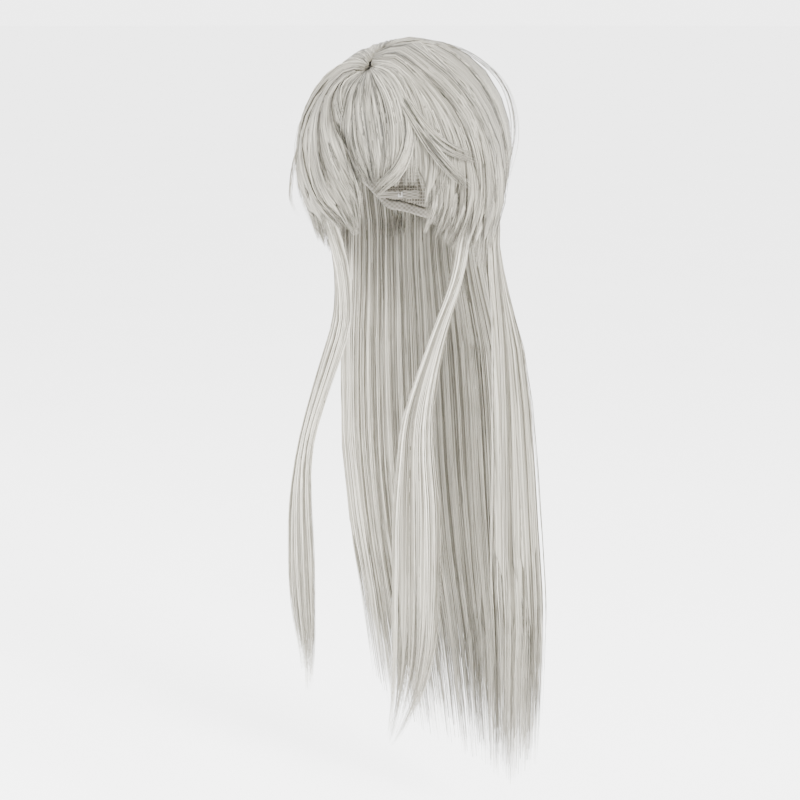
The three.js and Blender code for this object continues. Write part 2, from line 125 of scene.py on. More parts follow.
class Bench:
    """A new material and the nodes that are being added to it."""

    def __init__(self, name: str) -> None:
        """Starts a material with one Principled shader.

        Args:
            name: the material's name.
        """
        self.material = bpy.data.materials.new(name)
        self.material.use_nodes = True
        self.tree = self.material.node_tree
        self.shader = self.tree.nodes["Principled BSDF"]

    def node(
        self, kind: str, settings: Mapping[str, Any], inputs: Mapping[Any, Any], output: Any = 0
    ) -> Wire:
        """Adds any node.

        Args:
            kind: the node's type.
            settings: attributes, set first; "stops" holds a ramp's places and colours.
            inputs: socket name or number to a value or a Wire.
            output: the output wanted, by name or number.

        Returns:
            That output.
        """
        made = self.tree.nodes.new(kind)
        for key, value in settings.items():
            if key == "stops":
                ramp = made.color_ramp
                for index, (place, colour) in enumerate(value):
                    element = ramp.elements[index] if index < 2 else ramp.elements.new(place)
                    element.position = place
                    element.color = (*colour, 1.0)
            else:
                setattr(made, key, value)
        for key, value in inputs.items():
            if isinstance(value, Wire):
                self.tree.links.new(value.socket, made.inputs[key])
            else:
                made.inputs[key].default_value = value
        return Wire(self, made.outputs[output])

    def set(self, **plain: Any) -> None:
        """Sets plain values on the shader, with underscores for the spaces in socket names.

        Args:
            plain: socket name to value.
        """
        for key, value in plain.items():
            self.shader.inputs[key.replace("_", " ")].default_value = value

    def feed(self, socket: str, wire: Wire) -> None:
        """Links a wire to one of the shader's sockets."""
        self.tree.links.new(wire.socket, self.shader.inputs[socket])

    def object_place(self) -> Wire:
        """The place on the piece, in metres."""
        return self.node("ShaderNodeTexCoord", {}, {}, "Object")

    def thread_place(self) -> tuple[Wire, Wire, Wire]:
        """The piece's own map: the whole vector, its first number and its second.

        Returns:
            The three outputs.
        """
        whole = self.node("ShaderNodeUVMap", {"uv_map": THREAD_MAP}, {})
        first = self.node("ShaderNodeSeparateXYZ", {}, {0: whole})
        return whole, first, Wire(self, first.socket.node.outputs[1])

    def noise(self, place: Wire, scale: float, detail: float = 2.0, stretch: Stop = (1, 1, 1)) -> Wire:
        """Noise from 0 to 1 at a place that is first stretched by three factors.

        Args:
            place: where the noise is read.
            scale: how many patches there are to a metre.
            detail: how many finer noises are added.
            stretch: a factor for each direction.

        Returns:
            The noise.
        """
        moved = self.node("ShaderNodeVectorMath", {"operation": "MULTIPLY"}, {0: place, 1: stretch})
        return self.node("ShaderNodeTexNoise", {}, {"Vector": moved, "Scale": scale, "Detail": detail})

    def blend(self, share: Wire, low: Any, high: Any) -> Wire:
        """A colour that goes from low to high as share goes from 0 to 1.

        Args:
            share: how much of the second colour there is.
            low: the first colour or wire.
            high: the second colour or wire.

        Returns:
            The colour.
        """
        ends = [value if isinstance(value, Wire) else (*value, 1.0) for value in (low, high)]
        return self.node(
            "ShaderNodeMix", {"data_type": "RGBA"}, {0: share, 6: ends[0], 7: ends[1]}, 2
        )

    def bump(self, height: Wire, strength: float, distance: float) -> None:
        """Raises the surface by a height from 0 to 1 times a distance in metres.

        Args:
            height: how high each place is.
            strength: how much the relief shows.
            distance: the height of the highest places.
        """
        made = self.node(
            "ShaderNodeBump", {}, {"Height": height, "Strength": strength, "Distance": distance}
        )
        self.feed("Normal", made)


# ---------------------------------------------------------------- finishes


@dataclass(frozen=True)
class HairFinish:
    """Synthetic hair: each strand has its own tone, painted shade where it starts and a soft sheen.

    Attributes:
        name: the finish's name.
        light: the colour of the palest strands.
        dark: the colour of the deepest.
        root_shade: the colour where a strand starts, a painted shade for the hair that goes in under the
            hair over it.
        rough: how dull the strands are.
        root_shade_fade: one over the share of the way along at which that painted shade is gone.
        cloud_scale: how many cloudy patches there are to a metre.
    """

    name: str
    light: Colour
    dark: Colour
    root_shade: Colour
    rough: float = 0.42
    root_shade_fade: float = 12.0
    cloud_scale: float = 26.0

    def strands(self) -> bpy.types.Material:
        """The finish of separate strands, whose map holds each one's lightness, painted shading of its
        row's depth included, and the way along it.

        Returns:
            The material.
        """
        bench = Bench(f"{self.name}_strands")
        _, shade, along = bench.thread_place()
        cloud = bench.noise(bench.object_place(), self.cloud_scale)
        share = (shade * 1.5 + cloud * 0.5 - 0.6).clamped()
        # painted shade: each strand darkens towards where it starts, as the shade under the hair that lies
        # over it
        root_shade = (1.0 - along * self.root_shade_fade).clamped()
        shaded = bench.blend(share, self.dark, self.light)
        bench.feed("Base Color", bench.blend(root_shade * 0.75, shaded, self.root_shade))
        bench.feed("Roughness", shade * 0.1 + self.rough)
        bench.set(Sheen_Weight=0.02, Specular_IOR_Level=0.4)
        return bench.material

    def core(self) -> bpy.types.Material:
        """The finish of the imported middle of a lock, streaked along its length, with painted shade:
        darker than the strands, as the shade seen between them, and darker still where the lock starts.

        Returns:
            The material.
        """
        bench = Bench(f"{self.name}_core")
        place, _, along = bench.thread_place()
        fine = bench.noise(place, 1.0, 1.0, (2600.0, 6.0, 1.0))
        broad = bench.noise(place, 1.0, 1.0, (420.0, 3.0, 1.0))
        streak = (fine * 1.8 + broad * 1.2 - 1.2).clamped()
        # painted shade: the middle is darker than the strands, as the shade seen between them, and it
        # darkens further where the lock starts
        deep = tuple(channel * 0.8 for channel in self.dark)
        root_shade = (1.0 - along * self.root_shade_fade).clamped()
        shaded = bench.blend(streak, deep, self.light)
        bench.feed("Base Color", bench.blend(root_shade * 0.8, shaded, self.root_shade))
        bench.feed("Roughness", fine * 0.12 + (self.rough + 0.1))
        bench.set(Specular_IOR_Level=0.25)
        bench.bump(streak, 0.6, 0.0007)
        return bench.material


@dataclass(frozen=True)
class ThreadFinish:
    """Knitted, woven or sewn thread: two crossed waves in the piece's own map.

    Attributes:
        name: the finish's name.
        colour: the colour of the threads.
        gap: the colour between them.
        across: metres from one thread to the next across the piece.
        along: the same along it.
        rough: how dull the threads are.
        depth: how deep the gaps look, in metres.
    """

    name: str
    colour: Colour
    gap: Colour
    across: float
    along: float
    rough: float = 0.85
    depth: float = 0.0004

    def material(self) -> bpy.types.Material:
        """Threads that cross at the two spacings, with worn, slightly uneven colour.

        Returns:
            The material.
        """
        bench = Bench(self.name)
        _, first, second = bench.thread_place()
        warp = (first * (FULL_TURN / self.across)).sine()
        weft = (second * (FULL_TURN / self.along)).sine()
        weave = (warp * weft * 0.5 + 0.5).clamped()
        cloud = bench.noise(bench.object_place(), 60.0, 4.0)
        share = (weave * 0.75 + cloud * 0.5 - 0.1).clamped()
        bench.feed("Base Color", bench.blend(share, self.gap, self.colour))
        bench.feed("Roughness", cloud * 0.1 + (self.rough - 0.05))
        bench.set(Sheen_Weight=0.2, Specular_IOR_Level=0.25)
        bench.bump(weave, 0.8, self.depth)
        return bench.material


@dataclass(frozen=True)
class NetFinish:
    """Knitted cap net, in the piece's own map, with small meshes of a size given in metres."""

    name: str
    thread: Colour
    hole: Colour
    mesh: float

    def material(self) -> bpy.types.Material:
        """Cells whose edges are the thread: light where two cells meet and dark inside them.

        Returns:
            The material.
        """
        bench = Bench(self.name)
        place, _, _ = bench.thread_place()
        cells = bench.node(
            "ShaderNodeTexVoronoi",
            {"feature": "DISTANCE_TO_EDGE"},
            {"Vector": place, "Scale": 1 / self.mesh, "Randomness": 0.25},
        )
        thread = (1.0 - cells * 5.0).clamped()
        cloud = bench.noise(bench.object_place(), 45.0, 3.0)
        share = (thread * 0.85 + cloud * 0.3 - 0.05).clamped()
        bench.feed("Base Color", bench.blend(share, self.hole, self.thread))
        bench.feed("Roughness", 0.95 - thread * 0.15)
        bench.set(Sheen_Weight=0.2, Specular_IOR_Level=0.2)
        bench.bump(thread, 0.9, 0.0004)
        return bench.material


@dataclass(frozen=True)
class SkinFinish:
    """Soft skin-coloured film with the small knots that its hairs are tied in."""

    name: str
    film: Colour
    knot: Colour
    knots_per_metre: float = 520.0

    def material(self) -> bpy.types.Material:
        """A mottled film with a small dark dot in the middle of each cell of a fine pattern.

        Returns:
            The material.
        """
        bench = Bench(self.name)
        place = bench.object_place()
        cells = bench.node("ShaderNodeTexVoronoi", {}, {"Vector": place, "Scale": self.knots_per_metre})
        knots = (1.0 - cells * 3.4).clamped()
        mottle = bench.noise(place, 150.0, 3.0)
        pale = tuple(min(channel * 1.18, 1.0) for channel in self.film)
        skin = bench.blend(mottle, self.film, pale)
        bench.feed("Base Color", bench.blend(knots * 0.8, skin, self.knot))
        bench.feed("Roughness", mottle * 0.2 + 0.5)
        bench.set(Subsurface_Weight=0.1, Subsurface_Scale=0.002)
        bench.bump(knots, 0.4, 0.0002)
        return bench.material


@dataclass(frozen=True)
class MouldedFinish:
    """Clear-looking moulded plastic with faint flow marks."""

    name: str
    colour: Colour

    def material(self) -> bpy.types.Material:
        """Colour and gloss that both vary with one slow, drawn-out noise.

        Returns:
            The material.
        """
        bench = Bench(self.name)
        place = bench.object_place()
        flow = bench.noise(place, 240.0, 3.0, (1.0, 1.0, 3.0))
        dull = tuple(channel * 0.8 for channel in self.colour)
        bench.feed("Base Color", bench.blend(flow, dull, self.colour))
        bench.feed("Roughness", flow * 0.25 + 0.15)
        bench.bump(flow, 0.15, 0.0002)
        return bench.material


class Tone(Enum):
    """The shades of hair in the wig, and what each is made with."""

    CROWN = HairFinish(
        "crown_hair", (0.385, 0.362, 0.297), (0.034, 0.0305, 0.021), (0.07, 0.063, 0.045)
    )
    FRINGE = HairFinish(
        "fringe_hair", (0.37, 0.349, 0.287), (0.022, 0.02, 0.0135), (0.05, 0.045, 0.033)
    )
    LAYER = HairFinish(
        "layer_hair", (0.50, 0.472, 0.396), (0.05, 0.045, 0.032), (0.08, 0.072, 0.052)
    )
    LONG = HairFinish(
        "long_hair", (0.525, 0.499, 0.425), (0.10, 0.091, 0.066), (0.10, 0.09, 0.068)
    )


class Trim(Enum):
    """The finishes of the cap and its fittings."""

    NET = NetFinish("cap_net", (0.45, 0.42, 0.355), (0.11, 0.099, 0.08), 0.0036)
    ROSE_NET = NetFinish("crown_net", (0.45, 0.42, 0.355), (0.10, 0.09, 0.072), 0.0054)
    RIBBON = ThreadFinish("edge_ribbon", (0.46, 0.43, 0.368), (0.15, 0.137, 0.11), 0.0036, 0.0030)
    ELASTIC = ThreadFinish("nape_elastic", (0.46, 0.435, 0.38), (0.17, 0.157, 0.13), 0.0066, 0.0044)
    WEFT = ThreadFinish("weft_stitching", (0.34, 0.32, 0.27), (0.10, 0.09, 0.07), 0.0016, 0.0024)
    STAY = ThreadFinish("stay_cover", (0.44, 0.415, 0.358), (0.14, 0.13, 0.108), 0.0030, 0.0034)
    SKIN = SkinFinish("skin_top", (0.62, 0.40, 0.28), (0.26, 0.165, 0.11))
    HOOK = MouldedFinish("clear_hook", (0.72, 0.72, 0.69))


class Wardrobe:
    """Makes each finish once, when a piece first asks for it."""

    def __init__(self) -> None:
        """Starts with nothing made."""
        self.made: dict[str, bpy.types.Material] = {}

    def hair(self, tone: Tone) -> list[bpy.types.Material]:
        """The strand and core finishes of a tone.

        Args:
            tone: which shade of hair.

        Returns:
            The two materials.
        """
        finish = tone.value
        if tone.name not in self.made:
            self.made[tone.name] = finish.strands()
            self.made[f"{tone.name}_core"] = finish.core()
        return [self.made[tone.name], self.made[f"{tone.name}_core"]]

    def trim(self, trim: Trim) -> bpy.types.Material:
        """The finish of a trim.

        Args:
            trim: which finish.

        Returns:
            The material.
        """
        if trim.name not in self.made:
            self.made[trim.name] = trim.value.material()
        return self.made[trim.name]


# ---------------------------------------------------------------- shapes


def rise(value: Any, start: float, end: float) -> Any:
    """Goes smoothly from 0 at start to 1 at end, by 3 x squared less 2 x cubed."""
    share = np.clip((value - start) / (end - start), 0.0, 1.0)
    return share * share * (3 - 2 * share)


def unit(vectors: Floats) -> Floats:
    """Vectors along the last axis, each divided by its length."""
    return vectors / np.maximum(np.linalg.norm(vectors, axis=-1, keepdims=True), 1e-12)


def spline_weights(places: Floats, stops: int) -> Floats:
    """Catmull-Rom weights: each place lies between two stops and mixes those and their neighbours.

    Args:
        places: any number of shares from 0 to 1, in one row.
        stops: how many evenly spaced stops there are.

    Returns:
        One row of weights for each place.
    """
    span = np.clip(places, -0.15, 1.15) * (stops - 1)
    first = np.clip(np.floor(span).astype(int), 0, stops - 2)
    f = span - first
    parts = [
        -0.5 * f + f**2 - 0.5 * f**3,
        1 - 2.5 * f**2 + 1.5 * f**3,
        0.5 * f + 2 * f**2 - 1.5 * f**3,
        -0.5 * f**2 + 0.5 * f**3,
    ]
    weights = np.zeros((len(places), stops))
    rows = np.arange(len(places))
    for step, part in enumerate(parts):
        np.add.at(weights, (rows, np.clip(first + step - 1, 0, stops - 1)), part)
    return weights


@dataclass(frozen=True)
class HeadForm:
    """The head that the cap fits, and how full the hair lies on it. Angles are in degrees.

    Attributes:
        half_width: half the head's width.
        half_depth: half its depth, front to back.
        top: the height of its top.
        drop: how far it falls for each degree past 90 from the top.
        nape_tuck: how much it narrows under the back of the head, as a share.
        tuck_layer: the layer at which that narrowing is gone.
        tuck_reach: how many degrees past 90 it takes.
        hair_from: the layer above which the fullness of the hair counts.
        full_front: how much fuller the hair is at the front, as a share.
        full_side: the same at the sides.
        full_back: the same at the back.
        full_loss: how much of its fullness the hair loses below the ears.
        filling: where the fullness starts and where it is whole, from the top.
        losing: where the loss starts and where it is whole.
    """

    half_width: float = 77 * MM
    half_depth: float = 97 * MM
    top: float = 122 * MM
    drop: float = 2 * MM
    nape_tuck: float = 0.1
    tuck_layer: float = 0.01
    tuck_reach: float = 30.0
    hair_from: float = 4.8 * MM
    full_front: float = -0.17
    full_side: float = 0.87
    full_back: float = 0.35
    full_loss: float = 0.55
    filling: tuple[float, float] = (15.0, 75.0)
    losing: tuple[float, float] = (100.0, 132.0)

    def at(self, x: Any, y: Any, layer: Any) -> Floats:
        """A place on the head, from the direction seen from above.

        The place lies on an ellipsoid that grows by the layer's thickness. Past 90 degrees
        from the top it drops straight down instead of curving under.

        Args:
            x: degrees from the top towards the wearer's left.
            y: degrees from the top towards the back.
            layer: height off the head in metres, before the fullness of the hair.

        Returns:
            Positions along a new last axis.
        """
        x, y, layer = np.broadcast_arrays(*(np.asarray(v, float) for v in (x, y, layer)))
        far = np.hypot(x, y)
        side, back = x / np.maximum(far, 1e-9), y / np.maximum(far, 1e-9)
        ends = np.where(back > 0, self.full_back, self.full_front)
        extra = self.full_side * side**2 + ends * back**2
        full = (1 + rise(far, *self.filling) * extra) * (1 - self.full_loss * rise(far, *self.losing))
        thicker = self.hair_from + (layer - self.hair_from) * full
        off = np.where(layer > self.hair_from, thicker, layer)
        bend = np.radians(np.minimum(far, 90))
        below = np.maximum(far - 90, 0)
        deep = np.maximum(1 - off / self.tuck_layer, 0) * rise(back, -0.3, 0.6)
        tuck = 1 - self.nape_tuck * deep * np.minimum(below / self.tuck_reach, 1) ** 2
        return np.stack(
            [
                (self.half_width + off) * np.sin(bend) * side * tuck,
                (self.half_depth + off) * np.sin(bend) * back * tuck,
                (self.top + off) * np.cos(bend) - below * self.drop,
            ],
            -1,
        )

    def round(self, angle: Any, far: Any, layer: Any) -> Floats:
        """A place from the angle round the head, 0 at the face and +90 at the wearer's left."""
        turn = np.radians(angle)
        return self.at(np.sin(turn) * far, -np.cos(turn) * far, layer)


HEAD = HeadForm()


@dataclass
class Loft:
    """Rings of points carried along paths: paths x rings x corners x 3, and each point's map."""

    points: Floats
    thread: Floats
    finish: int = 0


def build(
    name: str, lofts: Sequence[Loft], materials: Sequence[bpy.types.Material]
) -> bpy.types.Object:
    """Makes one piece of closed tubes.

    Each ring is joined to the next by four-sided faces, and the two end rings are closed by
    one face each, so every tube is a closed body.

    Args:
        name: the piece's name.
        lofts: the tubes.
        materials: the finishes that the lofts choose from.

    Returns:
        The piece, at the origin.
    """
    places, maps, loops, counts, finishes = [], [], [], [], []
    base = 0
    for loft in lofts:
        paths, rings, corners, _ = loft.points.shape
        index = base + np.arange(paths * rings * corners).reshape(paths, rings, corners)
        turned = np.roll(index, -1, 2)
        sides = np.stack([index[:, :-1], turned[:, :-1], turned[:, 1:], index[:, 1:]], -1)
        caps = np.concatenate([index[:, 0, ::-1], index[:, -1]])
        loops += [sides.reshape(-1), caps.reshape(-1)]
        faces = sides.size // 4
        counts += [np.full(faces, 4), np.full(len(caps), corners)]
        finishes.append(np.full(faces + len(caps), loft.finish))
        places.append(loft.points.reshape(-1, 3))
        maps.append(loft.thread.reshape(-1, 2))
        base += paths * rings * corners
    points, corner_of = np.concatenate(places), np.concatenate(loops)
    sizes = np.concatenate(counts)
    mesh = bpy.data.meshes.new(name)
    mesh.vertices.add(len(points))
    mesh.vertices.foreach_set("co", points.astype(np.float32).ravel())
    mesh.loops.add(len(corner_of))
    mesh.loops.foreach_set("vertex_index", corner_of.astype(np.int32))
    mesh.polygons.add(len(sizes))
    mesh.polygons.foreach_set("loop_start", (np.cumsum(sizes) - sizes).astype(np.int32))
    mesh.polygons.foreach_set("material_index", np.concatenate(finishes).astype(np.int32))
    mesh.polygons.foreach_set("use_smooth", np.ones(len(sizes), bool))
    uv = mesh.uv_layers.new(name=THREAD_MAP)
    uv.data.foreach_set("uv", np.concatenate(maps)[corner_of].astype(np.float32).ravel())
    mesh.update(calc_edges=True)
    for material in materials:
        mesh.materials.append(material)
    piece = bpy.data.objects.new(name, mesh)
    bpy.context.scene.collection.objects.link(piece)
    return piece


def slab(grid_in: Floats, grid_out: Floats, thread: Floats) -> Loft:
    """A closed sheet with two faces, as one tube whose rings run round the sheet's section.

    Args:
        grid_in: along x across x 3, the inner face.
        grid_out: the same for the outer face.
        thread: along x across x 2, the map of both.

    Returns:
        The sheet as a loft of one path.
    """
    ring = np.concatenate([grid_out, grid_in[:, ::-1]], 1)[None]
    maps = np.concatenate([thread, thread[:, ::-1]], 1)[None]
    tangent = ring[0, 1, 0] - ring[0, 0, 0]
    across = ring[0, 0, 1] - ring[0, 0, 0]
    outward = grid_out[0, 0] - grid_in[0, 0]
    if np.dot(np.cross(across, tangent), outward) < 0:
        ring, maps = ring[:, :, ::-1], maps[:, :, ::-1]
    return Loft(ring, maps)


# ---------------------------------------------------------------- hair


@dataclass(frozen=True)
class Row:
    """One depth of locks across a sheet of hair. Lengths in metres, the rest as shares.

    Attributes:
        locks: how many locks lie side by side.
        strands: how many strands each lock shows on its surface.
        lift: how far the row is raised off the sheet at its roots and at its tips.
        depth: half the thickness of a lock.
        ends: where along the sheet the locks end, at least and at most.
        starts: where they start.
        overlap: a lock's width over the room it has.
        taper: where along a lock it starts to narrow.
        tip: how wide its tip is.
        wander: how far a lock strays sideways, as a share of the sheet.
        thick: the half thickness of a strand.
        wave: how far a strand waves at its tip.
        fray: how much shorter the shortest strand is.
        wrap: how much of the way round the lock its strands lie.
        point: where along a strand it starts to thin.
        tone_and_painted_shading: how light its strands are, which also holds painted shading: darker for
            rows that lie under others, lighter for outer and swept rows that face the light.
        core: whether the lock has a packed middle.
        core_end: where along the lock that middle starts to narrow, and where it ends.
    """

    locks: int
    strands: int
    lift: tuple[float, float] = (0.0, 0.0)
    depth: float = 3 * MM
    ends: tuple[float, float] = (0.93, 1.04)
    starts: tuple[float, float] = (0.0, 0.0)
    overlap: float = 1.9
    taper: float = 0.7
    tip: float = 0.25
    wander: float = 0.05
    thick: float = 0.38 * MM
    wave: float = 1.5 * MM
    fray: float = 0.12
    wrap: float = 0.75
    point: float = 0.6
    tone_and_painted_shading: float = 0.53
    core: bool = True
    core_end: tuple[float, float] = (0.66, 0.97)


@dataclass(frozen=True)
class Sheet:
    """A sheet of hair through guides x stops x 3 points, with its locks laid along the guides."""

    grid: Floats

    def at(self, across: Floats, along: Floats) -> Floats:
        """Points of the sheet, by Catmull-Rom curves through the guides both ways.

        Args:
            across: one share for each lock and ring.
            along: one share for each lock and ring.

        Returns:
            Locks x rings x 3 points.
        """
        guides, stops, _ = self.grid.shape
        wide = spline_weights(across.ravel(), guides)
        long = spline_weights(along.ravel(), stops)
        return np.einsum("ng,ns,gsd->nd", wide, long, self.grid).reshape(*across.shape, 3)


@dataclass
class Locks:
    """Middle lines of locks with a frame on each: locks x rings x 3, and half sizes."""

    middle: Floats
    side: Floats
    out: Floats
    half_width: Floats
    half_depth: Floats
    along: Floats

    def strands(self, row: Row, rng: np.random.Generator) -> Loft:
        """Thin tapered tubes laid on the face of each lock.

        A strand keeps its own place round the lock's section and adds a slow wave that
        grows towards its tip. It ends a little before the lock does, and its thickness
        falls to a point.

        Args:
            row: the sizes of this depth of hair.
            rng: where the strands' differences come from.

        Returns:
            The tubes, three-sided.
        """
        locks, rings, _ = self.middle.shape
        count = locks * row.strands
        own = np.repeat(np.arange(locks), row.strands)
        turn = np.pi / 2 + rng.uniform(-np.pi, np.pi, (count, 1)) * row.wrap
        reach = rng.uniform(0.8, 1.15, (count, 1)) + 0.5 * rng.uniform(0, 1, (count, 1)) ** 12
        v = np.linspace(0, 1, rings)[None]
        length = 1 - row.fray * rng.uniform(0, 1, (count, 1)) ** 1.6
        place = v * length * (rings - 1)
        low = np.minimum(place.astype(int), rings - 2)
        part = (place - low)[..., None]

        def along(values: Floats) -> Floats:
            """A lock's values at each strand's own rings, in between by straight lines."""
            whole = values.reshape(locks, rings, -1)
            return whole[own[:, None], low] * (1 - part) + whole[own[:, None], low + 1] * part

        growth = row.wave * (0.15 + v**2)
        wave = [
            growth * np.sin(v * rng.uniform(2, 8, (count, 1)) + rng.uniform(0, 6.3, (count, 1)))
            for _ in range(2)
        ]
        width, depth = along(self.half_width)[..., 0], along(self.half_depth)[..., 0]
        shift = np.cos(turn) * reach * width + wave[0]
        rising = np.sin(turn) * reach * depth + wave[1] * 0.5
        out = unit(along(self.out))
        line = along(self.middle) + along(self.side) * shift[..., None] + out * rising[..., None]
        ahead = unit(np.gradient(line, axis=1))
        first = unit(out - ahead * np.sum(out * ahead, -1, keepdims=True))
        second = np.cross(ahead, first)
        radius = row.thick * rng.uniform(0.7, 1.2, (count, 1)) * (1 - 0.9 * rise(v, row.point, 1.0))
        corner = (np.arange(STRAND_SIDES) * FULL_TURN / STRAND_SIDES)[:, None]
        ring = first[:, :, None] * np.cos(corner) + second[:, :, None] * np.sin(corner)
        ring = ring * radius[..., None, None]
        # each lock's lightness is random about its row's, which holds the painted shading of its depth
        tone_and_painted_shading = rng.normal(row.tone_and_painted_shading, 0.22, locks)[own][:, None]
        beat = [rng.uniform(0, 6.3, locks)[own][:, None] for _ in range(2)]
        streak = 0.36 * np.sin(turn * 3 + beat[0]) + 0.24 * np.sin(turn * 8 + beat[1])
        shade = np.clip(tone_and_painted_shading + streak + rng.normal(0, 0.12, (count, 1)), 0, 1)
        shade = np.broadcast_to(shade[..., None], (count, rings, STRAND_SIDES))
        far = np.broadcast_to(along(self.along), (count, rings, STRAND_SIDES))
        return Loft(line[:, :, None] + ring, np.stack([shade, far], -1))

    def cores(self, row: Row, rng: np.random.Generator) -> Loft:
        """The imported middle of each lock: a ridged lens section that narrows with the lock.

        Args:
            row: the sizes of this depth of hair.
            rng: where the ridges come from.

        Returns:
            The tubes, twenty-sided.
        """
        locks, rings, _ = self.middle.shape
        corner = np.arange(CORE_SIDES) * FULL_TURN / CORE_SIDES
        ridge = rng.normal(0, 0.09, (locks, 1, CORE_SIDES))
        ridge = ridge + rng.normal(0, 0.04, (locks, rings, CORE_SIDES))
        grow = 0.9 + ridge
        slim = (1 - rise(np.linspace(0, 1, rings), *row.core_end))[None, :, None]
        width = self.half_width[..., None] * np.cos(corner) * grow * (0.04 + 0.96 * slim)
        depth = self.half_depth[..., None] * np.sin(corner) * grow * 0.85 * (0.06 + 0.94 * slim)
        points = (
            self.middle[:, :, None] + self.side[:, :, None] * width[..., None]
            + self.out[:, :, None] * depth[..., None]
        )
        offset = rng.uniform(0, 1, (locks, 1, 1))
        maps = np.stack([width + offset, np.broadcast_to(self.along[..., None], width.shape)], -1)
        turned = np.cross(np.gradient(self.middle, axis=1)[0, 0], self.side[0, 0])
        if np.dot(turned, self.out[0, 0]) < 0:
            points, maps = points[:, :, ::-1], maps[:, :, ::-1]
        return Loft(points, maps, 1)


def lay_locks(sheet: Sheet, row: Row, rings: int, rng: np.random.Generator) -> Locks:
    """Lays a row of locks on a sheet.

    A lock follows one guide share, strays a little from it on the way, is about as wide as
    its neighbours are apart, and narrows to its tip. Its frame comes from the sheet's slope
    across and along.

    Args:
        sheet: the sheet of hair.
        row: the sizes of this depth of hair.
        rings: how many rings each lock has.
        rng: where the locks' differences come from.

    Returns:
        The locks.
    """
    count = row.locks
    share = (np.arange(count) + 0.5 + rng.uniform(-0.45, 0.45, count) * (count > 1)) / count
    v = np.linspace(0, 1, rings)[None]
    start = rng.uniform(*row.starts, (count, 1))
    end = rng.uniform(*row.ends, (count, 1))
    along = start + (end - start) * v
    drift = row.wander * rng.uniform(-1, 1, (count, 1)) * v ** rng.uniform(1, 2.5, (count, 1))
    weave = v * rng.uniform(3, 7, (count, 1)) + rng.uniform(0, 6, (count, 1))
    drift = drift + row.wander * 0.3 * np.sin(weave)
    across = share[:, None] + drift
    middle = sheet.at(across, along)
    step = 0.02
    side = sheet.at(across + step, along) - sheet.at(across - step, along)
    spread = np.linalg.norm(side, axis=-1) / (2 * step)
    ahead = unit(np.gradient(middle, axis=1))
    side = unit(side - ahead * np.sum(side * ahead, -1, keepdims=True))
    out = np.cross(side, ahead)
    taper = row.taper + rng.uniform(-0.12, 0.08, (count, 1))
    close = 1 - (1 - row.tip) * rise(v, taper, 1.0)
    wide = rng.uniform(0.6, 1.4, (count, 1))
    width = np.maximum(spread / count * row.overlap / 2 * wide, LEAST_HALF_WIDTH) * close
    depth = row.depth * (0.4 + 0.6 * rise(v, 0.0, 0.3)) * (0.15 + 0.85 * close)
    lift = row.lift[0] + (row.lift[1] - row.lift[0]) * v
    lift = lift + rng.uniform(-0.4, 0.4, (count, 1)) * row.depth * rise(v, 0, 0.3)
    middle = middle + out * lift[..., None]
    return Locks(middle, side, out, width, depth * np.ones_like(width), along)


@dataclass(frozen=True)
class Bend:
    """A swinging body and two places for a piece of hair; here a bend only has the piece's placement baked
    into its points.
    """

    body: str
    start: Stop
    end: Stop


@dataclass(frozen=True)
class Group:
    """Rows of locks that share a sheet."""

    sheet: Sheet
    rows: tuple[Row, ...]


@dataclass(frozen=True)
class HairPiece:
    """One piece of hair: its groups of locks, and the solids it stands for."""

    name: str
    nodes: tuple[str, ...]
    groups: tuple[Group, ...]
    tone: Tone
    slot: str
    seed: int
    bend: Bend | None = None
    rings: int = 14

    def make(self, wardrobe: Wardrobe) -> bpy.types.Object:
        """Builds the piece and dresses it; a piece without a bend is tied to the cap, and a piece with one
        only has its placement baked into its points.

        Args:
            wardrobe: where the finishes come from.

        Returns:
            The piece.
        """
        rng = np.random.default_rng(self.seed)
        lofts: list[Loft] = []
        for group in self.groups:
            for row in group.rows:
                locks = lay_locks(group.sheet, row, self.rings, rng)
                lofts.append(locks.strands(row, rng))
                if row.core:
                    lofts.append(locks.cores(row, rng))
        piece = build(self.name, lofts, wardrobe.hair(self.tone))
        if self.bend:
            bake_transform(piece)
        else:
            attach(piece, "cap")
        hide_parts(*self.nodes)
        LOG.info("%s: %d faces", self.name, len(piece.data.polygons))
        return piece


Key = str | tuple[float, ...]

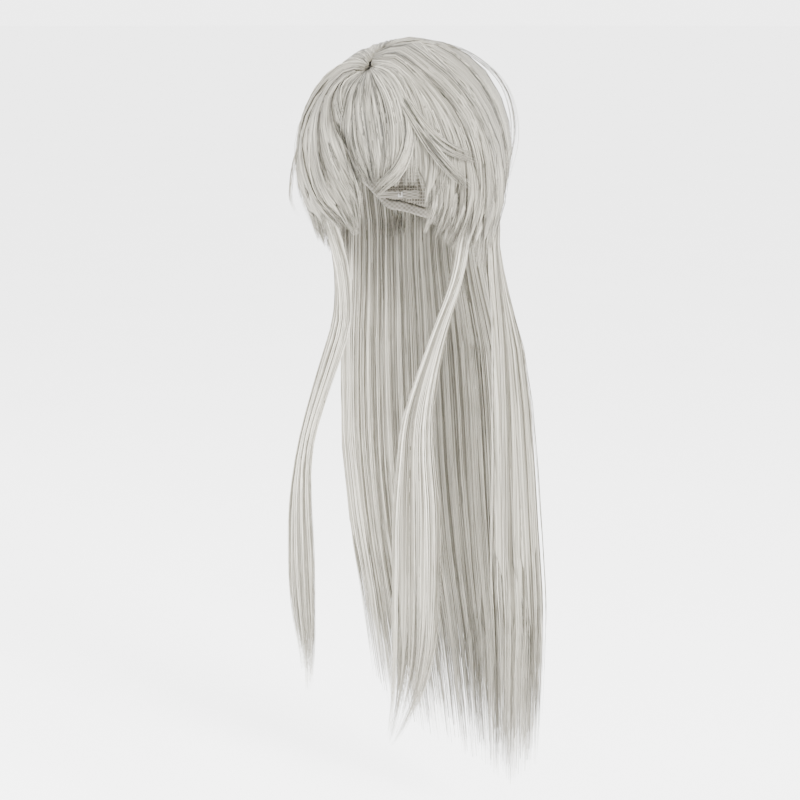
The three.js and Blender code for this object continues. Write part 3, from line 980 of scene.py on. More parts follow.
# Curves on the head seen from above: degrees from the top towards the left and the back.
CURVES: dict[str, tuple[tuple[int, int], ...]] = {
    "temple_right": (
        (-14, -31), (-28, -22), (-43, -16), (-58, -21), (-73, -27), (-88, -35), (-101, -45), (-114, -55),
    ),
    "cheek_right": (
        (-15, -33), (-35, -22), (-56, -20), (-64, -39), (-67, -61), (-63, -83), (-49, -99), (-33, -114),
    ),
    "curtain_right": (
        (-16, -34), (-32, -28), (-44, -39), (-47, -56), (-46, -73), (-42, -89), (-32, -103), (-21, -117),
    ),
    "brow_right": (
        (-16, -34), (-30, -34), (-37, -45), (-35, -58), (-30, -71), (-24, -83), (-19, -95), (-16, -109),
    ),
    "notch_right": (
        (-16, -34), (-25, -35), (-30, -41), (-29, -49), (-28, -58), (-26, -67), (-23, -75), (-19, -83),
    ),
    "notch_left": (
        (-16, -35), (-19, -42), (-20, -49), (-19, -57), (-18, -65), (-17, -73), (-14, -80), (-10, -87),
    ),
    "middle_right": (
        (-14, -35), (-15, -44), (-15, -53), (-15, -62), (-13, -71), (-9, -79), (-3, -86), (3, -93),
    ),
    "middle": (
        (-12, -35), (-9, -44), (-6, -52), (-2, -60), (2, -69), (6, -77), (9, -86), (12, -94),
    ),
    "middle_left": (
        (-10, -34), (-3, -42), (4, -49), (12, -55), (18, -63), (23, -71), (23, -81), (21, -91),
    ),
    "hook": (
        (-9, -34), (3, -41), (15, -48), (27, -57), (34, -69), (28, -82), (17, -90), (5, -98),
    ),
    "short": (
        (-9, -33), (0, -38), (10, -43), (18, -49), (26, -57), (32, -65), (36, -75), (39, -85),
    ),
    "short_left": (
        (-9, -32), (2, -36), (13, -40), (23, -46), (33, -53), (41, -60), (51, -68), (60, -74),
    ),
    "brow_left": (
        (-10, -30), (5, -35), (19, -41), (33, -48), (47, -55), (61, -63), (70, -74), (74, -90),
    ),
    "cheek_left": (
        (-11, -28), (7, -29), (24, -38), (43, -41), (62, -43), (80, -47), (96, -57), (100, -76),
    ),
    "temple_left": (
        (-11, -23), (8, -20), (27, -29), (48, -30), (70, -29), (90, -28), (111, -33), (127, -46),
    ),
    "side_left": (
        (-10, -17), (7, -4), (32, -17), (61, -16), (89, -9), (116, -5), (131, 20), (141, 47),
    ),
    "sweep_high": (
        (-14, -31), (-1, -35), (11, -45), (23, -53), (37, -58), (51, -58), (64, -50), (74, -39),
    ),
    "sweep_low": (
        (-12, -32), (1, -39), (13, -47), (25, -55), (39, -61), (53, -62), (67, -58), (80, -51),
    ),
    "under_face_left": (
        (44, -46), (45, -55), (47, -63), (55, -67), (62, -72), (68, -78), (69, -87), (70, -96),
    ),
    "under_brow_left": (
        (52, -44), (56, -49), (61, -53), (67, -56), (73, -60), (77, -64), (80, -70), (83, -76),
    ),
    "under_cheek_left": (
        (62, -40), (70, -42), (78, -44), (85, -49), (91, -54), (96, -61), (99, -68), (103, -76),
    ),
    "under_face_right": (
        (-38, -48), (-40, -59), (-40, -69), (-37, -80), (-33, -90), (-28, -99), (-22, -108), (-16, -117),
    ),
    "under_brow_right": (
        (-48, -44), (-54, -54), (-54, -65), (-52, -76), (-49, -88), (-45, -98), (-38, -107), (-30, -116),
    ),
    "under_cheek_right": (
        (-60, -36), (-71, -33), (-79, -37), (-84, -46), (-83, -57), (-81, -68), (-81, -79), (-81, -90),
    ),
    "under_temple_right": (
        (-68, -22), (-73, -29), (-79, -34), (-87, -37), (-94, -42), (-101, -46), (-108, -51), (-115, -56),
    ),
}

SWEEPS = ("sweep_high", "sweep_low")


@dataclass(frozen=True)
class Flow:
    """Where the hair runs, as curves on the head seen from above, and how high it lies.

    A named curve is listed in CURVES. A radial one is given by its angle round the head,
    how far from the top it ends and how many degrees it drifts on the way. It leaves the
    scalp at the whorl, or further back along the short parting the further back it falls.

    Attributes:
        stops: how many places each curve is given.
        whorl: where the front hair leaves the scalp.
        parting_end: where the back hair leaves it.
        first_fall: how far from the top a radial curve is already falling straight.
        top: the layer of the top hair at each place, in millimetres.
        sweep: the same for the locks that sweep over the temple.
        back: the same for the hair at the back.
        under: the same for the hair under the top hair.
    """

    stops: int = 9
    whorl: tuple[float, float] = (-14.0, -34.0)
    parting_end: tuple[float, float] = (-8.0, -13.0)
    first_fall: float = 48.0
    top: tuple[float, ...] = (8.0, 11.5, 15.0, 17.5, 18.8, 18.4, 16.8, 14.4, 12.0)
    sweep: tuple[float, ...] = (8.0, 12.5, 17.0, 21.5, 25.0, 27.0, 28.0, 27.5, 26.0)
    back: tuple[float, ...] = (8.0, 10.0, 12.0, 13.7, 14.8, 15.0, 13.8, 12.2, 10.0)
    under: tuple[float, ...] = (8.0, 9.5, 11.0, 12.0, 13.0, 13.5, 13.0, 12.0, 10.5)

    def path(self, key: Key) -> Floats:
        """The evenly spaced places of a curve.

        Args:
            key: a curve's name, or a radial curve's angle, end, drift and start.

        Returns:
            Stops x 2 places.
        """
        if isinstance(key, str):
            return self.even(np.array(CURVES[key], float))
        angle, end, drift, begin = (*key, 0.0, 0.0)[:4]
        share = np.linspace(0, 1, 6)
        way = np.radians(angle + drift * share**1.5)
        first = begin or self.first_fall
        fall = np.stack([np.sin(way), -np.cos(way)], -1) * (first + (end - first) * share)[:, None]
        if begin:
            return self.even(fall)
        back = float(rise(abs((angle + 200) % 360 - 180), 50, 150))
        whorl = np.array(self.whorl)
        start = whorl + (np.array(self.parting_end) - whorl) * back
        return self.even(np.concatenate([start[None], start + (fall[:1] - start) * 0.5, fall]))

    def even(self, path: Floats) -> Floats:
        """The same curve with evenly spaced places, by straight lines between the given ones.

        Args:
            path: the given places.

        Returns:
            Stops x 2 places.
        """
        reach = np.concatenate([[0], np.cumsum(np.linalg.norm(np.diff(path, axis=0), axis=1))])
        wanted = np.linspace(0, reach[-1], self.stops)
        return np.stack([np.interp(wanted, reach, column) for column in path.T], -1)

    def height(self, key: Key) -> Floats:
        """The layer at each stop of a curve of the top hair, lower towards the back.

        Args:
            key: the curve.

        Returns:
            One layer for each stop, in millimetres.
        """
        if isinstance(key, str):
            share = 0.75 if key == "side_left" else 0.0
        else:
            share = float(rise(90 - abs(abs(key[0]) % 360 - 180), -5, 30))
        return np.array(self.top) * (1 - share) + np.array(self.back) * share

    def sheet(self, keys: Sequence[Key], under: bool = False) -> Sheet:
        """A sheet through several curves.

        Args:
            keys: the curves, from the wearer's right to the left.
            under: whether the hair lies under the top hair.

        Returns:
            The sheet.
        """
        flat = np.stack([self.path(key) for key in keys])
        layers = [np.array(self.under) if under else self.height(key) for key in keys]
        return Sheet(HEAD.at(flat[..., 0], flat[..., 1], np.stack(layers) * MM))

    def strip(self, key: Key, half: float, over: float) -> Sheet:
        """A narrow sheet along one curve.

        Args:
            key: the curve.
            half: half its width, in degrees.
            over: how far it lies over the top hair, in millimetres.

        Returns:
            The sheet.
        """
        path = self.path(key)
        ahead = unit(np.gradient(path, axis=0))
        normal = np.stack([ahead[:, 1], -ahead[:, 0]], -1)
        wide = half * np.interp(np.linspace(0, 1, self.stops), [0, 0.3, 1], [0.3, 1.0, 0.8])
        flat = np.stack([path - normal * wide[:, None], path, path + normal * wide[:, None]])
        layer = np.array(self.sweep) if key in SWEEPS else self.height(key)
        layer = layer + over * rise(np.linspace(0, 1, self.stops), 0.0, 0.3)
        return Sheet(HEAD.at(flat[..., 0], flat[..., 1], layer * MM))


FLOW = Flow()


@dataclass(frozen=True)
class CrownHair:
    """The hair that starts at the whorl and its short parting and falls all round the head.

    Attributes:
        face: the locks that show.
        low: the fuller locks under them, painted darker as shade.
        stray: single strands over them.
        accent: a swept lock laid over the rest, painted lighter as lit.
        seed: where the first piece's differences come from.
    """

    face: Row = Row(13, 38, ends=(0.9, 1.06), starts=(-0.035, -0.005), wander=0.06)
    low: Row = Row(8, 14, (-6 * MM, -5 * MM), 4 * MM, (0.85, 1.0), overlap=2.4, tip=0.3, tone_and_painted_shading=0.42)
    stray: Row = Row(
        12, 3, (1 * MM, 3 * MM), 3 * MM, (0.6, 1.0), overlap=3.0, core=False, thick=0.24 * MM, wander=0.15
    )
    accent: Row = Row(
        3, 44, depth=2.4 * MM, ends=(0.94, 1.02), tip=0.05, taper=0.5, wander=0.12, overlap=1.6, tone_and_painted_shading=0.6,
        core_end=(0.5, 0.85),
    )
    seed: int = 11

    def pieces(self) -> list[HairPiece]:
        """The six crown locks, with the locks that sweep over them.

        Returns:
            The pieces, ready to be made.
        """
        fan: dict[str, list[tuple[list[Key], int]]] = {
            "crown_front_right": [
                ([(-92, 124, 2), "temple_right", "cheek_right"], 11),
                (["cheek_right", "curtain_right", "brow_right"], 8),
            ],
            "crown_right": [([(-128, 128), (-110, 128), (-92, 124, 2), "temple_right"], 15)],
            "crown_back_right": [([(-176, 128), (-160, 128), (-142, 128), (-126, 128)], 15)],
            "crown_back_left": [([(124, 136), (140, 130), (158, 128), (172, 128), (186, 128)], 17)],
            "crown_left": [
                (["cheek_left", "temple_left", "side_left"], 11),
                (["side_left", (112, 140), (127, 136)], 8),
            ],
            "crown_front_left": [(["short_left", "brow_left", "cheek_left"], 12)],
        }
        accents: dict[str, list[tuple[Key, float, float]]] = {
            "crown_front_right": [
                ("cheek_right", 5, 2.0), ("curtain_right", 4, 2.5), ("temple_right", 5, 2.0),
            ],
            "crown_right": [((-104, 124, 4), 5, 2.0)],
            "crown_left": [("temple_left", 6, 1.5)],
            "crown_front_left": [
                ("sweep_high", 2.4, 0.0), ("sweep_low", 2.2, 0.0), ("cheek_left", 5, 1.0),
            ],
        }
        made = []
        for index, (name, sheets) in enumerate(fan.items()):
            groups = []
            for keys, locks in sheets:
                face = replace(self.face, locks=locks)
                low = replace(self.low, locks=max(locks // 2, 4))
                groups.append(Group(FLOW.sheet(keys), (face, low, self.stray)))
            for key, half, over in accents.get(name, []):
                groups.append(Group(FLOW.strip(key, half, over), (self.accent,)))
            made.append(
                HairPiece(f"{name}_hair", (name,), tuple(groups), Tone.CROWN, "hair", self.seed + index)
            )
        return made


@dataclass(frozen=True)
class Fringe:
    """The fringe, from the whorl to its tips over the brow.

    Attributes:
        bend: how it swings up off the forehead.
        face: the locks that show.
        low: the locks under them, painted darker as shade.
        accent: a lock laid over the rest.
        seed: where the first clump's differences come from.
    """

    bend: Bend = Bend("fringe_hair", (0.0, -0.10, 0.085), (0.0, -0.12, 0.035))
    face: Row = Row(
        6, 46, depth=2.6 * MM, ends=(0.94, 1.05), taper=0.72, tip=0.25, wander=0.05, fray=0.1
    )
    low: Row = Row(
        5, 30, (-4 * MM, -3 * MM), 2.6 * MM, (0.93, 1.02), overlap=2.6, tip=0.4, taper=0.8, tone_and_painted_shading=0.42
    )
    accent: Row = Row(
        3, 50, depth=2.2 * MM, ends=(0.95, 1.02), tip=0.06, taper=0.55, wander=0.1, overlap=1.6
    )
    seed: int = 31

    def pieces(self) -> list[HairPiece]:
        """The five clumps, each with the roots that carry it.

        Returns:
            The pieces, ready to be made.
        """
        clumps: dict[str, tuple[list[Key], int, list[tuple[Key, float, float]]]] = {
            "fringe_right_side": (
                ["curtain_right", "brow_right", "notch_right"], 8, [("brow_right", 3, 1.5)],
            ),
            "fringe_right": (["notch_right", "notch_left"], 5, []),
            "fringe_centre": (
                ["notch_left", "middle_right", "middle", "middle_left"], 10, [("middle_right", 2.5, 1.0)],
            ),
            "fringe_left": (["middle_left", "short"], 5, [("hook", 3.5, 3.5)]),
            "fringe_left_sweep": (["short", "short_left", "brow_left"], 8, []),
        }
        roots = {
            "fringe_right_side": ("fringe_root_right",),
            "fringe_centre": ("fringe_root_centre",),
            "fringe_left": ("fringe_root_left",),
        }
        made = []
        for index, (name, (keys, locks, accents)) in enumerate(clumps.items()):
            rows = (replace(self.face, locks=locks), replace(self.low, locks=locks))
            groups = [Group(FLOW.sheet(keys), rows)]
            for key, half, over in accents:
                groups.append(Group(FLOW.strip(key, half, over), (self.accent,)))
            nodes = (name, *roots.get(name, ()))
            made.append(
                HairPiece(
                    f"{name}_clump", nodes, tuple(groups), Tone.FRINGE, "hair", self.seed + index, self.bend
                )
            )
        return made


@dataclass(frozen=True)
class SideLayers:
    """The shorter layers that hang over the ears, the cheeks and the nape.

    Attributes:
        lock: the locks of a narrow piece.
        wide: the locks of a broad one.
        deep: the locks under either, painted darker as shade.
        seed: where the first piece's differences come from.
    """

    lock: Row = Row(7, 44, depth=2.8 * MM, ends=(0.88, 1.04), taper=0.62, tip=0.1, wander=0.08)
    wide: Row = Row(10, 34, depth=3.4 * MM, ends=(0.85, 1.06), taper=0.62, tip=0.15, wander=0.08)
    deep: Row = Row(6, 16, (-4 * MM, -4 * MM), 3.4 * MM, (0.8, 1.0), overlap=2.4, tip=0.2, tone_and_painted_shading=0.38)
    seed: int = 51

    def pieces(self) -> list[HairPiece]:
        """Ten layered locks, two at each cheek, two over each ear and two at the nape.

        Returns:
            The pieces, ready to be made.
        """
        spans: dict[str, list[Key]] = {
            "face_lock_front_left": ["under_face_left", "under_brow_left"],
            "face_lock_side_left": ["under_brow_left", "under_cheek_left"],
            "side_layer_front_left": ["under_cheek_left", (84, 140, 2, 66), (98, 146, 2, 66)],
            "side_layer_back_left": [(97, 146, 2, 66), (110, 146, 2, 68), (126, 140, 2, 70)],
            "face_lock_front_right": ["under_brow_right", "under_face_right"],
            "face_lock_side_right": ["under_temple_right", "under_cheek_right", "under_brow_right"],
            "side_layer_front_right": [(-98, 142, 0, 66), (-88, 134, 4, 66), "under_temple_right"],
            "side_layer_back_right": [(-126, 140, -2, 70), (-110, 144, -2, 68), (-97, 142, 0, 66)],
            "back_layer_left": [
                (124, 132, 0, 72), (143, 133, 0, 80), (162, 132, 0, 84), (181, 132, 0, 84),
            ],
            "back_layer_right": [
                (179, 132, 0, 84), (198, 132, 0, 84), (217, 133, 0, 80), (236, 132, 0, 72),
            ],
        }
        made = []
        for index, (name, keys) in enumerate(spans.items()):
            row = self.lock if name.startswith("face_lock") else self.wide
            groups = (Group(FLOW.sheet(keys, under=True), (row, self.deep)),)
            made.append(
                HairPiece(f"{name}_hair", (name,), groups, Tone.LAYER, "hair_layers", self.seed + index)
            )
        return made


@dataclass(frozen=True)
class LongLock:
    """One of the two long locks in front of the shoulders, from above the ear to its tip.

    Attributes:
        side: which of the two.
        path: its middle line, in millimetres.
        widths: its width at each place of the path, in millimetres.
        turns: which way it lies flat at each place, in degrees from facing forwards.
        seed: where its strands' differences come from.
        rows: its depths of locks, from the outside in.
        fill: how much of half its width the sheet of locks takes up each way.
        hinge: which place of the path it swings about.
        bending: the heights between which it comes to follow the swing, in metres.
        forward: how much further forward the bend is at the lower height.
    """

    side: str
    path: tuple[Stop, ...]
    widths: tuple[float, ...]
    turns: tuple[float, ...]
    seed: int
    rows: tuple[Row, ...] = (
        Row(
            6, 44, (2 * MM, 2 * MM), 2.6 * MM, (0.93, 1.0), taper=0.72, tip=0.2, wander=0.08, wrap=1.0,
            fray=0.1, core_end=(0.78, 0.99),
        ),
        Row(
            5, 36, (-1 * MM, -1 * MM), 3 * MM, (0.9, 1.0), taper=0.7, tip=0.2, overlap=2.2, wrap=1.0,
            fray=0.12, core_end=(0.78, 0.99),
        ),
        Row(
            6, 34, (-4 * MM, -4 * MM), 2.6 * MM, (0.9, 0.99), taper=0.7, tip=0.2, wander=0.08, wrap=1.0,
            fray=0.1, core_end=(0.78, 0.99),
        ),
        Row(
            8, 3, (0.0, 1 * MM), 5 * MM, (0.8, 1.0), overlap=3.4, core=False, thick=0.24 * MM, wander=0.25
        ),
    )
    fill: float = 0.45
    hinge: int = 4
    bending: tuple[float, float] = (-0.075, -0.16)
    forward: float = 0.02

    def piece(self) -> HairPiece:
        """The lock, as finer locks on a narrow sheet either side of the path.

        Each place of the path is moved half a width each way along a line that turns from
        flat against the head to flat against the chest.

        Returns:
            The piece, ready to be made.
        """
        path = np.array(self.path) * MM
        turn = np.radians(self.turns)
        wide = np.stack([np.cos(turn), np.sin(turn), np.zeros(len(turn))], -1)
        half = np.array(self.widths)[:, None] * MM * self.fill
        sheet = Sheet(np.stack([path - wide * half, path, path + wide * half]))
        body = f"long_lock_{self.side}_hair"
        x, y, _ = path[self.hinge]
        bend = Bend(body, (x, y, self.bending[0]), (x, y - self.forward, self.bending[1]))
        nodes = (f"long_lock_root_{self.side}", f"long_lock_{self.side}")
        groups = (Group(sheet, self.rows),)
        name = f"long_front_lock_{self.side}"
        return HairPiece(name, nodes, groups, Tone.LONG, "hair", self.seed, bend, rings=26)


LONG_LOCKS = (
    LongLock(
        "left",
        (
            (81, -36, 18), (83, -37, -6), (81, -39, -36), (78, -42, -66), (75, -45, -98), (70, -52, -126),
            (63, -63, -156), (58, -80, -190), (54, -96, -222), (52, -109, -255), (54, -118, -290),
            (56, -123, -335), (57, -126, -390), (57, -127, -440), (56, -127, -485), (51, -127, -530),
            (42, -127, -567), (28, -127, -606),
        ),
        (10, 12, 12, 12, 11, 11, 13, 17, 23, 30, 35, 44, 46, 46, 45, 38, 24, 6),
        (70, 72, 68, 58, 44, 32, 22, 15, 10, 8, 8, 8, 8, 8, 8, 8, 8, 8),
        61,
    ),
    LongLock(
        "right",
        (
            (-81, -36, 18), (-82, -37, -6), (-76, -39, -36), (-65, -42, -66), (-56, -43, -100),
            (-51, -51, -134), (-50, -60, -162), (-55, -76, -194), (-61, -91, -226), (-69, -102, -262),
            (-75, -109, -298), (-78, -112, -345), (-78, -112, -390), (-78, -111, -436), (-76, -110, -478),
            (-74, -108, -508), (-74, -106, -535), (-74, -105, -564),
        ),
        (10, 12, 13, 12, 12, 14, 16, 16, 14, 12, 13, 20, 25, 27, 24, 18, 12, 5),
        (-70, -72, -68, -58, -44, -32, -22, -15, -10, -8, -8, -8, -8, -8, -8, -8, -8, -8),
        62,
    ),
)


@dataclass(frozen=True)
class BackHair:
    """The long hair down the back, in five panels that run on from under the layers.

    Attributes:
        heights: heights of the falling sheet, in millimetres.
        middles: how far left its middle lies at each height.
        turns: angles round the head.
        sways: how far left the tips are drawn at those angles, in millimetres.
        halves: its half width at each height.
        least_half: the half width up to which it hangs straight down.
        flare: how much wider than that it is when it has spread to the full.
        root_reach: how far from the top each guide's two places on the head are, in degrees.
        root_layer: how high they lie off the head, in millimetres.
        back_shift: how far back its middle is, before it spreads and by how much more after.
        half_depth: its half depth, before it spreads and by how much less after.
        bend: how the hair swings backwards.
        outer: the locks that show, painted lighter as lit.
        middle: the fuller locks behind them, painted darker as shade.
        inner: the locks that show from inside, painted darker as the shade inside the hair.
        stray: single strands over the outer locks.
        seed: where the first panel's differences come from.
    """

    heights: tuple[float, ...] = (-60, -90, -135, -170, -240, -360, -430, -510, -580, -742)
    middles: tuple[float, ...] = (2, 2, 5, 8, 11, 15, 17, 20, 22, 22)
    turns: tuple[float, ...] = (110, 150, 175, 190, 205, 250)
    sways: tuple[float, ...] = (-6, 2, 22, 36, 44, 44)
    halves: tuple[float, ...] = (88, 88, 95, 102, 115, 120, 123, 128, 128, 124)
    least_half: float = 88.0
    flare: float = 36.0
    root_reach: tuple[float, float] = (72.0, 92.0)
    root_layer: tuple[float, float] = (6.0, 9.0)
    back_shift: tuple[float, float] = (10.0, 28.0)
    half_depth: tuple[float, float] = (104.0, 2.0)
    bend: Bend = Bend("back_hair", (0.0, 0.11, -0.07), (0.0, 0.12, -0.18))
    outer: Row = Row(
        12, 30, (3 * MM, 4 * MM), 2.6 * MM, (0.97, 1.0), taper=0.9, tip=0.8, fray=0.05, wrap=0.8,
        point=0.88, tone_and_painted_shading=0.6, core_end=(0.8, 0.94),
    )
    middle: Row = replace(
        outer, locks=6, strands=16, lift=(-2 * MM, 0.0), depth=4 * MM, ends=(0.96, 0.99), overlap=2.4,
        wrap=1.0, tone_and_painted_shading=0.44,
    )
    inner: Row = replace(
        outer, strands=22, lift=(-6 * MM, -4 * MM), ends=(0.965, 1.0), wrap=1.0, tone_and_painted_shading=0.3
    )
    stray: Row = Row(
        10, 3, (2 * MM, 3 * MM), 3 * MM, (0.85, 1.0), overlap=2.6, core=False, thick=0.24 * MM, wander=0.12
    )
    seed: int = 71

    def guide(self, angle: float, end: float, inset: float = 0.0) -> Floats:
        """Twelve points: two on the head, then down the falling sheet to a height.

        The falling sheet is an ellipse round the body that spreads and drifts to the
        wearer's left as it falls, and its tips are drawn together. The lower points close up
        to reach the height wanted.

        Args:
            angle: where the guide falls, round the head.
            end: the height of its tip, in millimetres.
            inset: how far it lies in from the sheet at its tip, in millimetres.

        Returns:
            The points.
        """
        head = HEAD.round(angle, np.array(self.root_reach), np.array(self.root_layer) * MM)
        whole = np.array(self.heights)
        height = whole[0] + (whole - whole[0]) * (end - whole[0]) / (whole[-1] - whole[0])
        middle = np.interp(-height, -whole, self.middles)
        half = np.interp(-height, -whole, self.halves)
        spread = np.clip((half - self.least_half) / self.flare, 0, 1)
        turn = np.radians(angle)
        sway = np.interp(angle, self.turns, self.sways) * np.linspace(0, 1, len(height)) ** 4
        x = middle + half * np.sin(turn) + sway - inset * spread
        depth = self.half_depth[0] - self.half_depth[1] * spread
        y = self.back_shift[0] + self.back_shift[1] * spread - depth * np.cos(turn)
        return np.concatenate([head, np.stack([x, y, height], -1) * MM])

    def pieces(self) -> list[HairPiece]:
        """The five panels, each with an outer, a middle and an inner depth of locks.

        Returns:
            The pieces, ready to be made.
        """
        rows = (self.outer, self.middle, self.inner, self.stray)
        panels = {
            "back_hair_far_left": [
                (93, -655, 34), (101, -672, 17), (110, -686, 6), (120, -700), (130, -716), (139, -730),
            ],
            "back_hair_left": [(137, -728), (147, -740), (156, -740), (165, -736)],
            "back_hair_centre": [(163, -737), (173, -730), (185, -722), (196, -713)],
            "back_hair_right": [(194, -715), (205, -704), (214, -694), (223, -680)],
            "back_hair_far_right": [(221, -682), (231, -664), (241, -648), (252, -620)],
        }
        made = []
        for index, (name, keys) in enumerate(panels.items()):
            sheet = Sheet(np.stack([self.guide(*key) for key in keys]))
            groups, seed = (Group(sheet, rows),), self.seed + index
            made.append(
                HairPiece(
                    f"{name}_panel", (name,), groups, Tone.LONG, "hair_inner", seed, self.bend, rings=16
                )
            )
        return made


@dataclass(frozen=True)
class LooseStrands:
    """The few strands that have come away from the crown and from the side.

    Attributes:
        row: the strands.
        half: half the width of the sheet that they lie on, in degrees.
        seed: where the first piece's differences come from.
    """

    row: Row = Row(
        4, 4, depth=1.5 * MM, ends=(0.85, 1.0), core=False, thick=0.24 * MM, overlap=1.4, tip=0.4, wrap=1.0
    )
    half: float = 1.5
    seed: int = 91

    def pieces(self) -> list[HairPiece]:
        """An arch over the crown on the wearer's left and a wisp at the wearer's right.

        Returns:
            The pieces, ready to be made.
        """
        arch = self.arc(
            [(140, 6, 14), (112, 32, 26), (92, 56, 32), (84, 74, 32), (80, 90, 26), (78, 104, 17)]
        )
        wisp = self.arc([(-64, 66, 20), (-66, 84, 24), (-67, 98, 27), (-67, 108, 28), (-68, 118, 26)])
        made = []
        for index, (place, sheet, rings) in enumerate((("crown", arch, 24), ("side", wisp, 14))):
            name, nodes = f"loose_{place}_strands", (f"loose_strand_{place}",)
            groups, seed = (Group(sheet, (self.row,)),), self.seed + index
            made.append(HairPiece(name, nodes, groups, Tone.CROWN, "hair", seed, rings=rings))
        return made

    def arc(self, stops: Sequence[Stop]) -> Sheet:
        """A narrow sheet along places given by angle, distance from the top and layer.

        Args:
            stops: the places, in degrees, degrees and millimetres.

        Returns:
            The sheet.
        """
        table = np.array(stops, float)
        rows = [
            HEAD.round(table[:, 0] + shift, table[:, 1] + shift, (table[:, 2] + shift * 0.4) * MM)
            for shift in (-self.half, 0.0, self.half)
        ]
        return Sheet(np.stack(rows))


# ---------------------------------------------------------------- cap


def sew_on(name: str, node: str, loft: Loft, material: bpy.types.Material) -> None:
    """Builds one piece of the cap and ties it to the head.

    Args:
        name: the piece's name.
        node: the solid that it stands for.
        loft: its shape.
        material: its finish.
    """
    piece = build(name, [loft], [material])
    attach(piece, "cap")
    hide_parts(node)
    LOG.info("%s: %d faces", name, len(piece.data.polygons))


@dataclass(frozen=True)
class NetCap:
    """The cap: net panels, edge ribbon, nape elastic, ear tabs, skin top and wefts.

    Distances along the head are in degrees from its top, and angles go round it.

    Attributes:
        edge: angle and distance of the cap's edge, from the face to the nape.
        ribbon: how wide the edge ribbon and the elastic are.
        ribbon_gap: the room between the net and the ribbon.
        crown_centre: how far back the middle of the round crown net is.
        crown_radius: its radius.
        crown_gap: the room round it.
        crown_rings: how many rings each of its faces has, and how many corners a ring.
        tab_gap: the room between the cap's edge and the ear tabs.
        tab_foot: how far down the ear tabs reach.
        tab_middle: where round the head their middle is.
        tab_half: half their width.
        tab_rise: how much higher their corners are.
        thin: how far the two faces of the net lie off the head.
        ribbon_faces: the same for the ribbon.
        elastic_faces: the same for the elastic.
        weft: the same for the wefts and the skin top.
        stay_faces: the same for the stays.
        turn_length: metres round the head to a radian, for the maps.
        fall_length: metres down it to a radian.
        degree_length: metres to a degree near the top.
    """

    edge: tuple[tuple[float, float], ...] = (
        (0, 62), (40, 66), (62, 74), (78, 84), (96, 88), (118, 100), (145, 116), (180, 121),
    )
    ribbon: float = 5.0
    ribbon_gap: float = 0.8
    crown_centre: float = 12.0
    crown_radius: float = 27.0
    crown_gap: float = 0.5
    crown_rings: tuple[int, int] = (12, 48)
    tab_gap: float = 0.6
    tab_foot: float = 99.0
    tab_middle: float = 72.0
    tab_half: float = 7.0
    tab_rise: float = 4.0
    thin: tuple[float, float] = (0.5 * MM, 1.6 * MM)
    ribbon_faces: tuple[float, float] = (0.5 * MM, 2.1 * MM)
    elastic_faces: tuple[float, float] = (0.5 * MM, 2.5 * MM)
    weft: tuple[float, float] = (2.1 * MM, 3.6 * MM)
    stay_faces: tuple[float, float] = (2.1 * MM, 3.1 * MM)
    turn_length: float = 0.09
    fall_length: float = 0.11
    degree_length: float = 0.0019

    def edge_at(self, angle: Floats) -> Floats:
        """How far from the top the cap's edge lies, by smooth steps between stops.

        Args:
            angle: angles round the head.

        Returns:
            A distance for each angle.
        """
        side = np.abs((np.asarray(angle, float) + 180) % 360 - 180)
        places, values = np.array(self.edge, float).T
        stop = np.clip(np.searchsorted(places, side), 1, len(places) - 1)
        share = np.clip((side - places[stop - 1]) / (places[stop] - places[stop - 1]), 0, 1)
        share = share * share * (3 - 2 * share)
        return values[stop - 1] + (values[stop] - values[stop - 1]) * share

    def rim_at(self, angle: Floats) -> Floats:
        """How far from the top the round crown net's rim lies in each direction.

        Args:
            angle: angles round the head.

        Returns:
            A distance for each angle.
        """
        way = -np.cos(np.radians(angle)) * self.crown_centre
        aside = self.crown_centre**2 - way**2
        return way + np.sqrt((self.crown_radius + self.crown_gap) ** 2 - aside)

    def ribbon_top(self, angle: Floats) -> Floats:
        """The upper edge of the ribbon and of the elastic."""
        return self.edge_at(angle) - self.ribbon

    def panel_foot(self, angle: Floats) -> Floats:
        """The lower edge of the net, just clear of the ribbon."""
        return self.ribbon_top(angle) - self.ribbon_gap

    def tab_root(self, angle: Floats) -> Floats:
        """The upper edge of an ear tab, just clear of the cap's edge."""
        return self.edge_at(angle) + self.tab_gap

    def tab_tip(self, angle: Floats) -> Floats:
        """The lower edge of an ear tab, rounded up to its corners."""
        return self.tab_foot - ((np.abs(angle) - self.tab_middle) / self.tab_half) ** 2 * self.tab_rise

    def stay_root(self, angle: Floats) -> Floats:
        """The upper end of a stay, twice as far from the cap's edge as its tab."""
        return self.edge_at(angle) + 2 * self.tab_gap

    def band(
        self,
        span: tuple[float, float],
        near: Any,
        far: Any,
        offs: tuple[float, float],
        size: tuple[int, int],
    ) -> Loft:
        """A closed band round the head.

        Args:
            span: its two angles.
            near: its upper edge, as one distance or a method that gives it at each angle.
            far: its lower edge, in the same way.
            offs: how far its two faces lie off the head.
            size: how many steps it has across and along.

        Returns:
            The band, with a map in metres.
        """
        angle = np.linspace(*span, size[0] + 1)[None]
        v = np.linspace(0, 1, size[1] + 1)[:, None]
        top = np.broadcast_to(near(angle) if callable(near) else near, angle.shape)
        low = np.broadcast_to(far(angle) if callable(far) else far, angle.shape)
        reach = top + (low - top) * v
        turns = np.broadcast_to(angle, reach.shape)
        maps = np.stack(
            [np.radians(turns) * self.turn_length, np.radians(reach) * self.fall_length], -1
        )
        return slab(HEAD.round(turns, reach, offs[0]), HEAD.round(turns, reach, offs[1]), maps)

